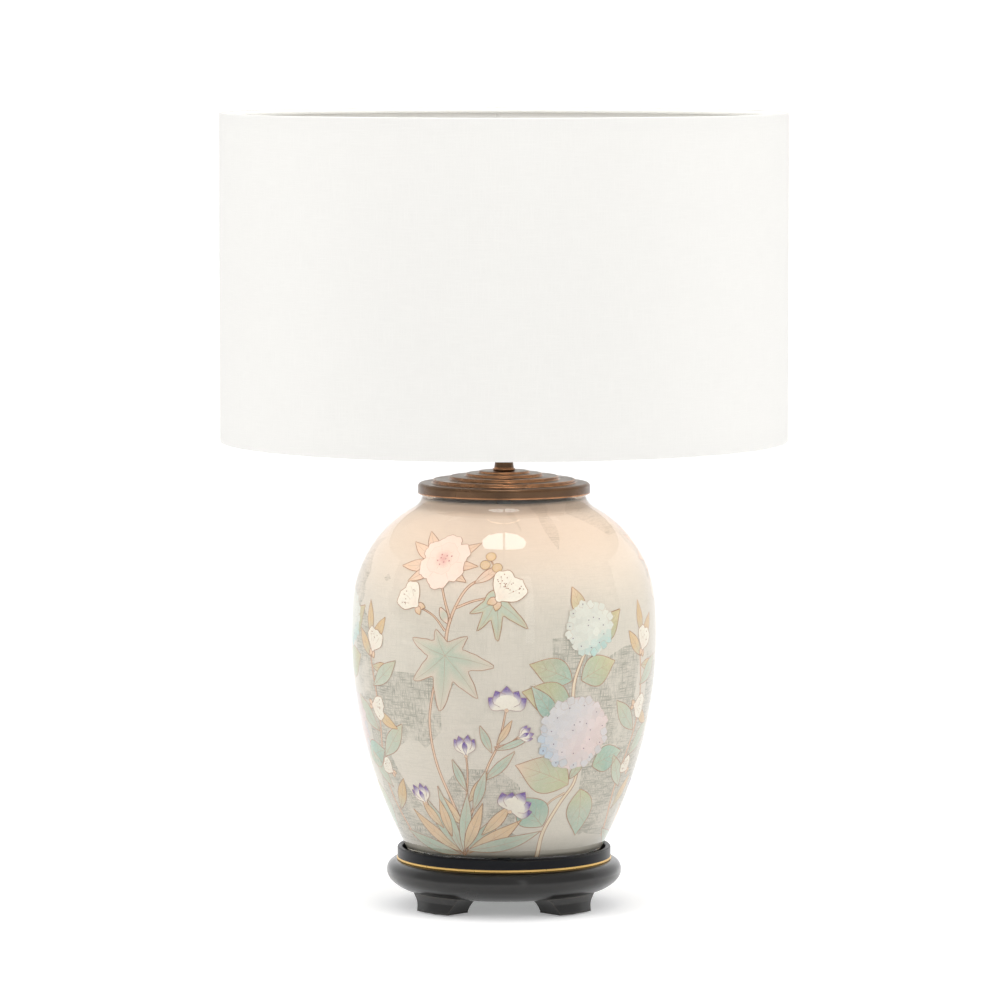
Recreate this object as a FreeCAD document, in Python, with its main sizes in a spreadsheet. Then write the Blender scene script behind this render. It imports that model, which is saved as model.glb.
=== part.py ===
"""A table lamp: a glass vase lined with cut-paper flowers, on a black turned stand with four bracket feet.

A stepped antique-brass cap closes the vase. One hollow threaded rod clamps the stand, the vase and the cap
together, and carries a switched lampholder with an LED bulb. A drum shade hangs on the lampholder by a
three-armed spider, held down by a threaded ring. Units are millimetres, Z is up, and the origin is on the lamp's
axis in the plane that its feet stand on. The lamp's front faces -Y.
"""

import FreeCAD
import Part
import math
import os
from types import SimpleNamespace

import Sketcher

Vector = FreeCAD.Vector
doc = FreeCAD.newDocument("table_lamp")


# ---------------------------------------------------------------- driving dimensions

DRIVING = [
    # the stand
    ("pad_thick", 1.0, "felt pad under a foot"),
    ("pad_r", 6.0, "radius of a felt pad"),
    ("foot_inset", 10.6, "a foot's toe inside the stand's widest line"),
    ("foot_hollow", 2.0, "how far a foot's outer face hollows above the toe"),
    ("foot_hollow_round", 17.6, "arc of that hollow"),
    ("foot_toe", 1.2, "upright edge of the toe"),
    ("foot_waist", 3.1, "the hollow's end below the stand"),
    ("foot_depth", 19.0, "a foot's depth towards the axis"),
    ("foot_sole_width", 31.0, "a foot's width at its sole"),
    ("foot_top_width", 46.0, "a foot's width under the stand"),
    ("foot_flank_round", 23.0, "arc of a foot's side"),
    ("stand_clear", 10.1, "height of the stand's underside over the pads"),
    ("bulge_proud", 7.6, "how far the bulge stands out of the collar"),
    ("bulge_top_round", 7.4, "arc above the bulge's widest line"),
    ("bulge_side_round", 10.0, "arc below the widest line"),
    ("bulge_under_round", 26.0, "arc into the underside"),
    ("bulge_under_turn", 45.0, "degrees at which the lower arcs meet"),
    ("collar_gap", 2.1, "air between the vase and the collar's lip"),
    ("collar_wall", 3.8, "the collar's wall"),
    ("collar_round", 1.2, "rounding of the collar's lip"),
    ("recess_rise", 0.8, "the seat for the vase above the band's lower edge"),
    ("recess_depth", 8.4, "depth of the seat for the vase"),
    ("stand_floor", 8.0, "wood between that seat and the well for the nut"),
    ("band_height", 1.8, "the gilt band's height"),
    ("band_depth", 0.9, "how far the band is let into the collar"),
    ("band_round", 1.1, "arc of the band's face"),
    ("well_r", 18.0, "radius of the well for the nut"),
    ("cord_rise", 8.7, "the cord's hole above the stand's underside"),
    ("cord_hole_r", 4.3, "radius of the cord's hole in the wood"),
    ("bush_bore_r", 3.7, "bore of the cord's bush"),
    ("bush_sink", 5.7, "the bush's spot face inside the stand's widest line"),
    ("bush_spot_fit", 0.2, "clearance of the bush's flange in its spot face"),
    ("bush_flange_r", 5.9, "radius of the bush's flange"),
    ("bush_flange", 2.4, "thickness of the bush's flange"),
    ("bush_length", 18.0, "the bush's sleeve behind its flange"),
    ("felt_margin", 4.1, "bare wood between the felt and the feet"),
    ("felt_overhang", 6.0, "the felt's lip across the well"),
    # the rod and its hardware
    ("rod_r", 5.0, "outer radius of the threaded rod"),
    ("rod_bore_r", 3.5, "the rod's bore"),
    ("rod_hole_fit", 0.4, "clearance of a plain hole round the rod"),
    ("rod_tail", 2.0, "rod past the nut in the well"),
    ("rod_head", 0.5, "rod past the nut in the lampholder"),
    ("nut_flats", 14.0, "a rod nut's width across flats"),
    ("nut_thick", 4.0, "a rod nut's thickness"),
    ("washer_r", 14.0, "radius of the washer in the well"),
    ("washer_thick", 1.6, "thickness of that washer"),
    # the vase
    ("seat_thick", 1.5, "rubber ring under the vase"),
    ("seat_width", 12.0, "width of that ring"),
    ("vase_height", 260.5, "height of the vase"),
    ("belly_height", 158.5, "height of its widest line over its bottom"),
    ("belly_r", 107.9, "the vase's widest radius"),
    ("flank_round", 320.0, "arc of the flank below the belly"),
    ("heel_round", 6.0, "arc from the flank to the bottom"),
    ("inner_heel_round", 5.0, "the same arc inside"),
    ("belly_round", 259.0, "arc above the belly"),
    ("belly_turn", 5.4, "degrees at which the belly's arc meets the shoulder's"),
    ("neck_r", 57.4, "outer radius of the vase's neck"),
    ("neck_round", 13.0, "arc from the shoulder to the neck"),
    ("neck_height", 2.0, "upright part of the neck"),
    ("glass_wall", 4.0, "the glass wall"),
    ("glass_floor", 6.0, "thickness of the vase's bottom"),
    ("vase_hole_r", 8.0, "hole in the vase's bottom"),
    ("lining_thick", 0.4, "the paper lining"),
    ("lining_stop", 14.0, "degrees of the neck's arc that the lining leaves bare"),
    ("lining_lift", 8.0, "the lining's lower edge above the glass floor"),
    ("vase_bush_rim", 6.2, "lip of the rubber bush in the vase's bottom"),
    ("vase_bush_flange", 1.5, "thickness of that lip"),
    # the cap
    ("cap_overhang", 3.4, "how far the cap stands out of the neck"),
    ("cap_metal", 1.2, "the cap's sheet"),
    ("cap_skirt", 7.4, "height of the cap's outer wall"),
    ("cap_edge_round", 2.6, "rounding of the outer edge"),
    ("cap_step_round", 0.9, "rounding of each step"),
    ("tread_one", 10.5, "width of the outer ledge"),
    ("tread_two", 11.8, "width of the second ledge"),
    ("tread_three", 11.5, "width of the third ledge"),
    ("tread_four", 9.0, "width of the fourth ledge"),
    ("rise_one", 2.5, "height of the first step"),
    ("rise_two", 2.3, "height of the second step"),
    ("rise_three", 2.0, "height of the third step"),
    ("rise_four", 1.6, "height of the fourth step"),
    ("gasket_thick", 3.1, "thickness of the ring between glass and cap"),
    ("gasket_width", 3.6, "width of that ring"),
    ("disc_thick", 6.0, "thickness of the centring disc"),
    ("disc_fit", 0.7, "clearance of that disc in the neck"),
    # the neck
    ("spool_r", 8.0, "radius of the spool's foot bead"),
    ("spool_waist_r", 6.6, "radius of the spool's waist"),
    ("spool_lip_r", 7.6, "radius of the spool's upper lip"),
    ("spool_lip", 0.8, "height of that lip"),
    ("spool_height", 10.0, "height of the spool"),
    ("spool_bead", 1.8, "height of the foot bead"),
    ("spool_round", 14.0, "arc of the waist"),
    ("tube_r", 6.9, "radius of the neck tube"),
    ("tube_height", 19.3, "height of the neck tube"),
    # the lampholder
    ("holder_r", 20.5, "radius of the lampholder"),
    ("holder_wall", 1.2, "its wall"),
    ("holder_entry_r", 8.0, "radius of its threaded entry"),
    ("holder_entry", 5.0, "height of that entry"),
    ("holder_dome", 9.0, "height of the domed end above the entry"),
    ("holder_cup", 10.0, "straight height of the cup"),
    ("sleeve_band", 6.5, "plain band below the shoulder"),
    ("shoulder_r", 23.0, "radius of the shoulder for the shade"),
    ("shoulder_thick", 3.0, "thickness of that shoulder"),
    ("thread_r", 19.6, "crest radius of the outer thread"),
    ("thread_depth", 0.7, "depth of that thread"),
    ("thread_pitch", 2.4, "pitch of that thread"),
    ("thread_length", 24.5, "length of the threaded sleeve"),
    ("sleeve_wall", 0.8, "the sleeve's wall under the thread"),
    ("insert_fit", 0.3, "clearance of the porcelain in the sleeve"),
    ("insert_flange", 2.0, "thickness of the flange that the porcelain is held by"),
    ("insert_base", 8.0, "solid base of the porcelain"),
    ("socket_r", 13.5, "bore of the bulb's brass shell"),
    ("socket_wall", 0.5, "that shell's wall"),
    ("socket_depth", 24.0, "depth of the bulb's socket"),
    ("contact_rise", 1.7, "height of the centre contact over the porcelain"),
    ("contact_metal", 0.6, "thickness of the centre contact"),
    ("contact_width", 5.0, "width of the centre contact"),
    ("contact_slope", 1.4, "how far the centre contact's bend leans in"),
    ("terminal_length", 7.0, "length of a terminal block"),
    ("terminal_width", 5.0, "width of a terminal block"),
    ("terminal_height", 8.0, "height of a terminal block"),
    ("terminal_reach", 8.5, "distance from the axis to a terminal block"),
    ("terminal_screw_r", 1.6, "radius of a terminal screw"),
    ("terminal_screw_head", 2.0, "height of a terminal screw's head"),
    # the switch
    ("bar_r", 2.5, "radius of the push bar"),
    ("bar_fit", 0.3, "clearance of the bar in its holes, and of the leaves from its bridge"),
    ("bar_rise", 5.0, "height of the bar over the cup's lower edge"),
    ("bar_travel", 6.0, "the bar's travel"),
    ("bar_stub", 1.5, "what stands out of the cup on the pressed side"),
    ("bar_tip_round", 1.0, "rounding of the bar's ends"),
    ("bridge_r", 4.4, "radius of the bridge on the bar"),
    ("bridge_length", 3.0, "length of that bridge"),
    ("leaf_thick", 0.5, "thickness of a spring leaf"),
    ("leaf_width", 5.0, "width of a spring leaf"),
    # the bulb
    ("play", 0.3, "air under the bulb's tip, and under and over the spider's washer"),
    ("tip_r", 4.6, "radius of the bulb's tip"),
    ("tip_height", 1.9, "height of the bulb's tip"),
    ("tip_flat_r", 2.8, "radius of the flat on the bulb's tip"),
    ("tip_round", 3.0, "arc round that flat"),
    ("tip_gap", 0.05, "solder line above the tip"),
    ("collar_height", 4.6, "height of the bulb's black collar"),
    ("collar_edge", 0.8, "upright edge of that collar"),
    ("screw_r", 13.1, "crest radius of the bulb's screw"),
    ("screw_depth", 0.9, "depth of the bulb's screw"),
    ("screw_sheet", 0.6, "sheet of the bulb's screw"),
    ("screw_pitch", 3.629, "pitch of the bulb's screw"),
    ("bulb_wall", 1.6, "wall of the bulb's body"),
    ("bulb_neck", 3.0, "upright edge above the screw"),
    ("bulb_body_height", 38.0, "height of the bulb's body"),
    ("bulb_body_r", 27.9, "radius of the body's upper edge"),
    ("bulb_body_rim", 3.0, "upright edge under the globe"),
    ("bulb_body_round", 62.0, "arc of the body's side"),
    ("globe_r", 30.0, "radius of the bulb's globe"),
    ("globe_wall", 1.0, "wall of the globe"),
    ("board_thick", 1.6, "thickness of a circuit board"),
    ("board_ledge", 2.5, "ledge that the board with the chips lies on"),
    ("driver_width", 16.0, "width of the driver's board"),
    ("driver_height", 26.6, "height of the driver's board"),
    ("chip_width", 2.8, "width of a light-emitting chip"),
    ("chip_height", 0.7, "height of a chip"),
    ("chip_ring_r", 16.5, "radius of the ring of chips"),
    # the shade
    ("shade_r", 200.0, "radius of the drum shade"),
    ("shade_height", 231.0, "height of the shade"),
    ("spider_rise", 41.8, "height of the spider's washer over the shade's lower edge"),
    ("fabric_thick", 0.7, "the shade's fabric"),
    ("liner_thick", 0.5, "the stiff lining behind the fabric"),
    ("hem_thick", 0.4, "the fabric turned in over each ring"),
    ("hem_height", 9.0, "height of that turned edge"),
    ("wire_r", 1.75, "radius of the ring wires"),
    ("arm_r", 1.6, "radius of an arm's wire"),
    ("arm_flat", 46.0, "distance from the axis at which an arm bends down"),
    ("arm_bend", 30.0, "radius of that bend"),
    ("arm_lap", 2.4, "how far an arm laps the spider's washer"),
    ("washer_fit", 0.6, "clearance of the spider's washer on the thread"),
    ("spider_r", 29.0, "outer radius of the spider's washer"),
    ("spider_thick", 1.5, "thickness of the spider's washer"),
    ("flange_fit", 0.6, "the shade ring's flange inside the arms' ends"),
    ("grip_set", 1.8, "the shade ring's grip inside its flange"),
    ("ring_flange", 2.6, "thickness of that flange"),
    ("ring_height", 13.0, "height of the shade ring"),
    ("ring_chamfer", 1.0, "chamfer of the shade ring's upper edge"),
    ("notch_r", 1.3, "radius of a grip notch"),
    ("notch_centre", 0.4, "a notch's centre outside the grip"),
    ("notch_rise", 1.0, "a notch's lower end over the flange"),
]

sheet = doc.addObject("Spreadsheet::Sheet", "Sizes")
for row, (alias, number, meaning) in enumerate(DRIVING, start=1):
    sheet.set(f"A{row}", meaning)
    sheet.set(f"B{row}", str(number))
    sheet.setAlias(f"B{row}", alias)
doc.recompute()

FEET = 4
ARMS = 3
GRIP_NOTCHES = 24
CHIPS = 12
SCREW_TURNS = 4


class Size:
    """A size as its number and as the expression that gives it from the sheet."""

    def __init__(self, number, text):
        self.number = float(number)
        self.text = text

    def __add__(self, other):
        other = as_size(other)
        return Size(self.number + other.number, f"({self.text} + {other.text})")

    def __sub__(self, other):
        other = as_size(other)
        return Size(self.number - other.number, f"({self.text} - {other.text})")

    def __mul__(self, other):
        other = as_size(other)
        return Size(self.number * other.number, f"({self.text} * {other.text})")

    def __truediv__(self, other):
        other = as_size(other)
        return Size(self.number / other.number, f"({self.text} / {other.text})")

    def __neg__(self):
        return Size(-self.number, f"(0 - {self.text})")


def as_size(value):
    """value itself if it is a Size, or a plain number as one."""
    return value if isinstance(value, Size) else Size(value, f"{float(value):.6f}")


def root(value):
    return Size(math.sqrt(value.number), f"sqrt({value.text})")


def cosine(degrees):
    degrees = as_size(degrees)
    return Size(math.cos(math.radians(degrees.number)), f"cos({degrees.text})")


def sine(degrees):
    degrees = as_size(degrees)
    return Size(math.sin(math.radians(degrees.number)), f"sin({degrees.text})")


s = SimpleNamespace(**{alias: Size(sheet.get(alias), f"Sizes.{alias}") for alias, _, _ in DRIVING})


# ---------------------------------------------------------------- levels worked out from them

stand_underside = s.pad_thick + s.stand_clear
under_centre = stand_underside + s.bulge_under_round
bulge_z = under_centre - (s.bulge_under_round - s.bulge_side_round) * sine(s.bulge_under_turn)
band_bottom = bulge_z + s.bulge_top_round
band_top = band_bottom + s.band_height
recess_floor = band_bottom + s.recess_rise
collar_top = recess_floor + s.recess_depth
well_ceiling = recess_floor - s.stand_floor
washer_bottom = well_ceiling - s.washer_thick
nut_bottom = washer_bottom - s.nut_thick
rod_bottom = nut_bottom - s.rod_tail
plain_hole_r = s.rod_r + s.rod_hole_fit

vase_bottom = recess_floor + s.seat_thick
belly_z = vase_bottom + s.belly_height
neck_top = vase_bottom + s.vase_height
neck_foot = neck_top - s.neck_height
inner_floor = vase_bottom + s.glass_floor

flank_drop = belly_z - collar_top
vase_r_in_collar = s.belly_r - s.flank_round + root(s.flank_round * s.flank_round - flank_drop * flank_drop)
collar_inner_r = vase_r_in_collar + s.collar_gap
collar_r = collar_inner_r + s.collar_wall
groove_r = collar_r - s.band_depth
bulge_r = collar_r + s.bulge_proud
toe_r = bulge_r - s.foot_inset
bush_seat_y = bulge_r - s.bush_sink
bush_inner_y = bush_seat_y - s.bush_length
bush_outer_y = bush_seat_y + s.bush_flange
cord_z = stand_underside + s.cord_rise

cap_underside = neck_top + s.gasket_thick
cap_ledge = cap_underside + s.cap_metal
cap_r = s.neck_r + s.cap_overhang
disc_bottom = cap_underside - s.disc_thick
cap_levels = [cap_ledge]
for rise in (s.rise_one, s.rise_two, s.rise_three, s.rise_four):
    cap_levels.append(cap_levels[-1] + rise)
cap_steps = [cap_r]
for tread in (s.tread_one, s.tread_two, s.tread_three, s.tread_four):
    cap_steps.append(cap_steps[-1] - tread)

spool_bottom = cap_levels[-1]
spool_top = spool_bottom + s.spool_height
holder_bottom = spool_top + s.tube_height
entry_top = holder_bottom + s.holder_entry
cup_bottom = entry_top + s.holder_dome
cup_top = cup_bottom + s.holder_cup
entry_ceiling = entry_top + s.holder_wall
rod_top = entry_ceiling + s.nut_thick + s.rod_head
bar_z = cup_bottom + s.bar_rise
bridge_start = (s.bar_travel - s.bridge_length) / 2
shoulder_bottom = cup_top + s.sleeve_band
shoulder_top = shoulder_bottom + s.shoulder_thick
sleeve_top = shoulder_top + s.thread_length
sleeve_bore_r = s.thread_r - s.thread_depth - s.sleeve_wall
cup_inner_r = s.holder_r - s.holder_wall
flange_r = s.holder_r - s.holder_wall / 2
flange_top = cup_top + s.insert_flange
insert_r = sleeve_bore_r - s.insert_fit
insert_floor = cup_top + s.insert_base
insert_bore_r = s.socket_r + s.socket_wall
socket_top = insert_floor + s.socket_depth

contact_top = insert_floor + s.contact_rise
bulb_bottom = contact_top + s.play
tip_top = bulb_bottom + s.tip_height
bulb_collar_bottom = tip_top + s.tip_gap
bulb_collar_top = bulb_collar_bottom + s.collar_height
screw_root_r = s.screw_r - s.screw_depth
screw_bore_r = screw_root_r - s.screw_sheet
screw_top = bulb_collar_top + s.screw_pitch * (SCREW_TURNS + 1)
body_top = screw_top + s.bulb_body_height
board_bottom = body_top - s.board_thick
board_r = s.bulb_body_r - s.bulb_wall
globe_z = body_top + root(s.globe_r * s.globe_r - s.bulb_body_r * s.bulb_body_r)
globe_bore = s.globe_r - s.globe_wall
globe_mouth_r = root(globe_bore * globe_bore - (globe_z - body_top) * (globe_z - body_top))

spider_bottom = shoulder_top + s.play
spider_top = spider_bottom + s.spider_thick
arm_start = s.spider_r - s.arm_lap
ring_bottom = spider_top + s.play
ring_flange_r = arm_start - s.flange_fit
ring_flange_top = ring_bottom + s.ring_flange
ring_top = ring_bottom + s.ring_height
ring_grip_r = ring_flange_r - s.grip_set
shade_bottom = spider_bottom - s.spider_rise
shade_top = shade_bottom + s.shade_height
liner_r = s.shade_r - s.fabric_thick
hem_r = liner_r - s.liner_thick
hem_inner_r = hem_r - s.hem_thick
wire_ring_r = hem_inner_r - s.wire_r
lower_wire_z = shade_bottom + s.fabric_thick + s.wire_r
upper_wire_z = shade_top - s.fabric_thick - s.wire_r


# ---------------------------------------------------------------- outlines

class Corner:
    """A point of an outline. arc is the radius of the edge that leads to it, and left tells which way it bends."""

    def __init__(self, across, up, arc=None, left=True):
        self.across = as_size(across)
        self.up = as_size(up)
        self.arc = arc
        self.left = left


def backwards(path):
    """The same path walked from its other end."""
    turned_round = [Corner(path[-1].across, path[-1].up)]
    for here, after in zip(reversed(path[:-1]), reversed(path[1:])):
        turned_round.append(Corner(here.across, here.up, after.arc, not after.left))
    return turned_round


def softened(corner, before, after, radius):
    """Two corners with an arc between them, in place of one between a level and an upright edge."""
    def moved_towards(other):
        along = other.across.number - corner.across.number
        rise = other.up.number - corner.up.number
        if abs(along) > abs(rise):
            step = radius if along > 0 else -radius
            return corner.across + step, corner.up
        step = radius if rise > 0 else -radius
        return corner.across, corner.up + step

    start = moved_towards(before)
    end = moved_towards(after)
    turn = (corner.across.number - start[0].number) * (end[1].number - corner.up.number)
    turn -= (corner.up.number - start[1].number) * (end[0].number - corner.across.number)
    return [Corner(*start), Corner(*end, arc=radius, left=turn > 0)]


def arc_between(start, end, radius, left):
    """The smaller arc of that radius from start to end, and whether Sketcher keeps it the other way round."""
    chord = end - start
    half = chord.Length / 2
    rise = math.sqrt(max(radius * radius - half * half, 0.0))
    side = Vector(-chord.y, chord.x, 0).normalize()
    centre = (start + end) / 2 + side * (rise if left else -rise)
    from_angle = math.atan2(start.y - centre.y, start.x - centre.x)
    to_angle = math.atan2(end.y - centre.y, end.x - centre.x)
    if not left:
        from_angle, to_angle = to_angle, from_angle
    if to_angle < from_angle:
        to_angle += 2 * math.pi
    circle = Part.Circle(centre, Vector(0, 0, 1), radius)
    return Part.ArcOfCircle(circle, from_angle, to_angle), not left


def bind(owner, path, size):
    owner.setExpression(path, size.text)


def fix_point(sketch, edge, end, corner):
    """Holds one end of an edge at its corner's place, by the sheet's sizes."""
    for kind, axis, size in (("DistanceX", -2, corner.across), ("DistanceY", -1, corner.up)):
        if size.number == 0.0:
            sketch.addConstraint(Sketcher.Constraint("PointOnObject", edge, end, axis))
            continue
        index = sketch.addConstraint(Sketcher.Constraint(kind, -1, 1, edge, end, size.number))
        bind(sketch, f"Constraints[{index}]", size)


def draw(sketch, outline, closed=True):
    """Draws an outline of lines and arcs, each corner bound to the sheet."""
    spots = [Vector(c.across.number, c.up.number, 0) for c in outline]
    corners = outline if closed else outline[1:]
    ends = []
    for corner in corners:
        i = outline.index(corner)
        start, end = spots[i - 1], spots[i]
        if corner.arc is None:
            edge, swapped = Part.LineSegment(start, end), False
        else:
            edge, swapped = arc_between(start, end, corner.arc.number, corner.left)
        index = sketch.addGeometry(edge, False)
        ends.append((index, 2 if swapped else 1, 1 if swapped else 2))
    for i, (index, first, last) in enumerate(ends):
        if i + 1 == len(ends) and not closed:
            fix_point(sketch, ends[0][0], ends[0][1], outline[0])
            continue
        following, following_first, _ = ends[(i + 1) % len(ends)]
        sketch.addConstraint(Sketcher.Constraint("Coincident", index, last, following, following_first))
    for (index, first, last), corner in zip(ends, corners):
        fix_point(sketch, index, last, corner)
        if corner.arc is not None:
            radius = sketch.addConstraint(Sketcher.Constraint("Radius", index, corner.arc.number))
            bind(sketch, f"Constraints[{radius}]", corner.arc)


# ---------------------------------------------------------------- ways of making a piece

def new_body(label):
    made = doc.addObject("PartDesign::Body", label)
    made.Label = label
    return made


def sketch_on(owner, role, name, offset=None):
    """A sketch on one of the body's own origin planes, or offset from it along its normal."""
    sketch = owner.newObject("Sketcher::SketchObject", name)
    plane = next(f for f in owner.Origin.OriginFeatures if f.Role == role)
    sketch.AttachmentSupport = [(plane, "")]
    sketch.MapMode = "FlatFace"
    if offset is not None:
        bind(sketch, "AttachmentOffset.Base.z", offset)
    return sketch


def revolve(owner, outline, degrees=360.0, midplane=False):
    profile = sketch_on(owner, "XZ_Plane", owner.Name + "_profile")
    draw(profile, outline)
    turn = owner.newObject("PartDesign::Revolution", owner.Name + "_turn")
    turn.Profile = profile
    turn.ReferenceAxis = (profile, ["V_Axis"])
    turn.Angle = degrees
    turn.Midplane = midplane
    return turn


def turned(label, outline):
    """A piece turned about the lamp's axis from its half section."""
    owner = new_body(label)
    revolve(owner, outline)
    return owner


def tube_outline(inner_r, outer_r, bottom, top):
    return [Corner(inner_r, bottom), Corner(outer_r, bottom), Corner(outer_r, top), Corner(inner_r, top)]


def circle_sketch(owner, role, name, across, up, radius, offset=None):
    """A sketch of one circle, placed and sized by the sheet."""
    sketch = sketch_on(owner, role, name, offset)
    middle = Vector(as_size(across).number, as_size(up).number, 0)
    circle = sketch.addGeometry(Part.Circle(middle, Vector(0, 0, 1), radius.number), False)
    fix_point(sketch, circle, 3, Corner(across, up))
    index = sketch.addConstraint(Sketcher.Constraint("Radius", circle, radius.number))
    bind(sketch, f"Constraints[{index}]", radius)
    return sketch


def pocket(owner, sketch, name, depth, both_ways=False, backwards_cut=False):
    """A cut of a stated depth from a sketch."""
    cut = owner.newObject("PartDesign::Pocket", name)
    cut.Profile = sketch
    cut.Midplane = both_ways
    cut.Reversed = backwards_cut
    bind(cut, "Length", as_size(depth))
    return cut


def pad(owner, sketch, name, length, both_ways=False):
    made = owner.newObject("PartDesign::Pad", name)
    made.Profile = sketch
    made.Midplane = both_ways
    bind(made, "Length", length)
    return made


def hexagon(flats):
    """A hexagon's corners, flat side to the front."""
    reach = flats / root(as_size(3))
    spread = [(1, 0), (0.5, 0.5), (-0.5, 0.5), (-1, 0), (-0.5, -0.5), (0.5, -0.5)]
    return [Corner(reach * across, flats * up) for across, up in spread]


def rod_nut(label, bottom):
    """A hexagon nut on the threaded rod."""
    owner = new_body(label)
    sides = sketch_on(owner, "XY_Plane", label + "_sides", bottom)
    draw(sides, hexagon(s.nut_flats))
    pad(owner, sides, label + "_block", s.nut_thick)
    hole = circle_sketch(owner, "XY_Plane", label + "_hole", 0, 0, s.rod_r, bottom)
    pocket(owner, hole, label + "_bore", s.nut_thick, backwards_cut=True)
    return owner


def compound(label, pieces):
    """Several separate solids that share one node."""
    made = doc.addObject("Part::Compound", label)
    made.Label = label
    made.Links = pieces
    return made


def box(name, length, width, height, corner):
    """A block by its three sizes and its lowest corner."""
    made = doc.addObject("Part::Box", name)
    for path, size in (("Length", length), ("Width", width), ("Height", height)):
        bind(made, path, as_size(size))
    for path, size in zip(("x", "y", "z"), corner):
        bind(made, f"Placement.Base.{path}", as_size(size))
    return made


nodes = []


def keep(*objects):
    nodes.extend(objects)
    return objects[0]


# ---------------------------------------------------------------- the stand

def stand_outline():
    """Half section of the turned stand: well, underside, bulge, collar and seat for the vase."""
    turn = s.bulge_under_turn
    meet_r = bulge_r - s.bulge_side_round + s.bulge_side_round * cosine(turn)
    meet_z = bulge_z - s.bulge_side_round * sine(turn)
    under_r = meet_r - s.bulge_under_round * cosine(turn)
    outline = [
        Corner(plain_hole_r, well_ceiling),
        Corner(s.well_r, well_ceiling),
        Corner(s.well_r, stand_underside),
        Corner(under_r, stand_underside),
        Corner(meet_r, meet_z, s.bulge_under_round),
        Corner(bulge_r, bulge_z, s.bulge_side_round),
        Corner(bulge_r - s.bulge_top_round, band_bottom, s.bulge_top_round),
        Corner(groove_r, band_bottom),
        Corner(groove_r, band_top),
        Corner(collar_r, band_top),
    ]
    lip_outer = Corner(collar_r, collar_top)
    lip_inner = Corner(collar_inner_r, collar_top)
    seat = Corner(collar_inner_r, recess_floor)
    outline += softened(lip_outer, outline[-1], lip_inner, s.collar_round)
    outline += softened(lip_inner, lip_outer, seat, s.collar_round)
    return outline + [seat, Corner(plain_hole_r, recess_floor)]


def make_stand():
    owner = turned("stand_body", stand_outline())
    hole = circle_sketch(owner, "XZ_Plane", "cord_hole", 0, cord_z, s.cord_hole_r)
    pocket(owner, hole, "cord_way", bulge_r)
    spot_r = s.bush_flange_r + s.bush_spot_fit
    spot = circle_sketch(owner, "XZ_Plane", "bush_spot", 0, cord_z, spot_r, -bush_seat_y)
    pocket(owner, spot, "bush_seat", s.bush_sink)
    return owner


def make_gilt_band():
    return turned("gilt_band", [
        Corner(groove_r, band_bottom),
        Corner(collar_r, band_bottom),
        Corner(collar_r, band_top, s.band_round),
        Corner(groove_r, band_top),
    ])


def make_cord_bush():
    """The rubber bush that the mains cord enters by, at the back."""
    owner = new_body("cord_bush")
    disc = circle_sketch(owner, "XZ_Plane", "bush_flange_edge", 0, cord_z, s.bush_flange_r, -bush_outer_y)
    pad(owner, disc, "bush_flange_disc", s.bush_flange)
    sleeve = circle_sketch(owner, "XZ_Plane", "bush_sleeve_edge", 0, cord_z, s.cord_hole_r, -bush_seat_y)
    pad(owner, sleeve, "bush_sleeve", s.bush_length)
    bore = circle_sketch(owner, "XZ_Plane", "bush_bore_edge", 0, cord_z, s.bush_bore_r, -bush_inner_y)
    pocket(owner, bore, "bush_bore", s.bush_length + s.bush_flange)
    return owner


def foot_angle(index):
    """A foot's direction from the axis: the feet stand at the corners, the first one front right."""
    return 360.0 / FEET * (index + 0.5) - 90.0


def make_foot(index, stand):
    """One bracket foot, cut to the stand's underside and turned to its corner."""
    label = ("front_right_foot", "back_right_foot", "back_left_foot", "front_left_foot")[index]
    block = new_body(label + "_block")
    inner_r = toe_r - s.foot_depth
    waist_r = toe_r - s.foot_hollow
    revolve(block, [
        Corner(inner_r, s.pad_thick),
        Corner(toe_r, s.pad_thick),
        Corner(toe_r, s.pad_thick + s.foot_toe),
        Corner(waist_r, stand_underside - s.foot_waist, s.foot_hollow_round, left=False),
        Corner(waist_r, bulge_z),
        Corner(inner_r, bulge_z),
    ], degrees=60.0, midplane=True)
    sole, top = s.foot_sole_width / 2, s.foot_top_width / 2
    for side, name in ((1, "left"), (-1, "right")):
        flank = sketch_on(block, "YZ_Plane", f"{label}_{name}_flank")
        draw(flank, [
            Corner(sole * side, 0),
            Corner(sole * side, s.pad_thick + s.foot_toe),
            Corner(top * side, stand_underside + s.foot_toe, s.foot_flank_round, left=side < 0),
            Corner(top * side, bulge_z + s.foot_toe),
            Corner(s.foot_top_width * side, bulge_z + s.foot_toe),
            Corner(s.foot_top_width * side, 0),
        ])
        pocket(block, flank, f"{label}_{name}_cut", toe_r * 2, backwards_cut=True)
    block.Placement = FreeCAD.Placement(Vector(), FreeCAD.Rotation(Vector(0, 0, 1), foot_angle(index)))
    foot = doc.addObject("Part::Cut", label)
    foot.Label = label
    foot.Base = block
    foot.Tool = stand
    return foot


def make_pads():
    pads = []
    reach = toe_r - s.foot_depth / 2
    for index in range(FEET):
        made = doc.addObject("Part::Cylinder", f"pad_{index + 1}")
        bind(made, "Radius", s.pad_r)
        bind(made, "Height", s.pad_thick)
        bind(made, "Placement.Base.x", reach * cosine(foot_angle(index)))
        bind(made, "Placement.Base.y", reach * sine(foot_angle(index)))
        pads.append(made)
    return compound("felt_pads", pads)


def make_base_felt():
    outer = toe_r - s.foot_depth - s.felt_margin
    inner = s.well_r - s.felt_overhang
    return turned("base_felt", tube_outline(inner, outer, stand_underside - s.pad_thick, stand_underside))


# ---------------------------------------------------------------- the vase

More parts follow.
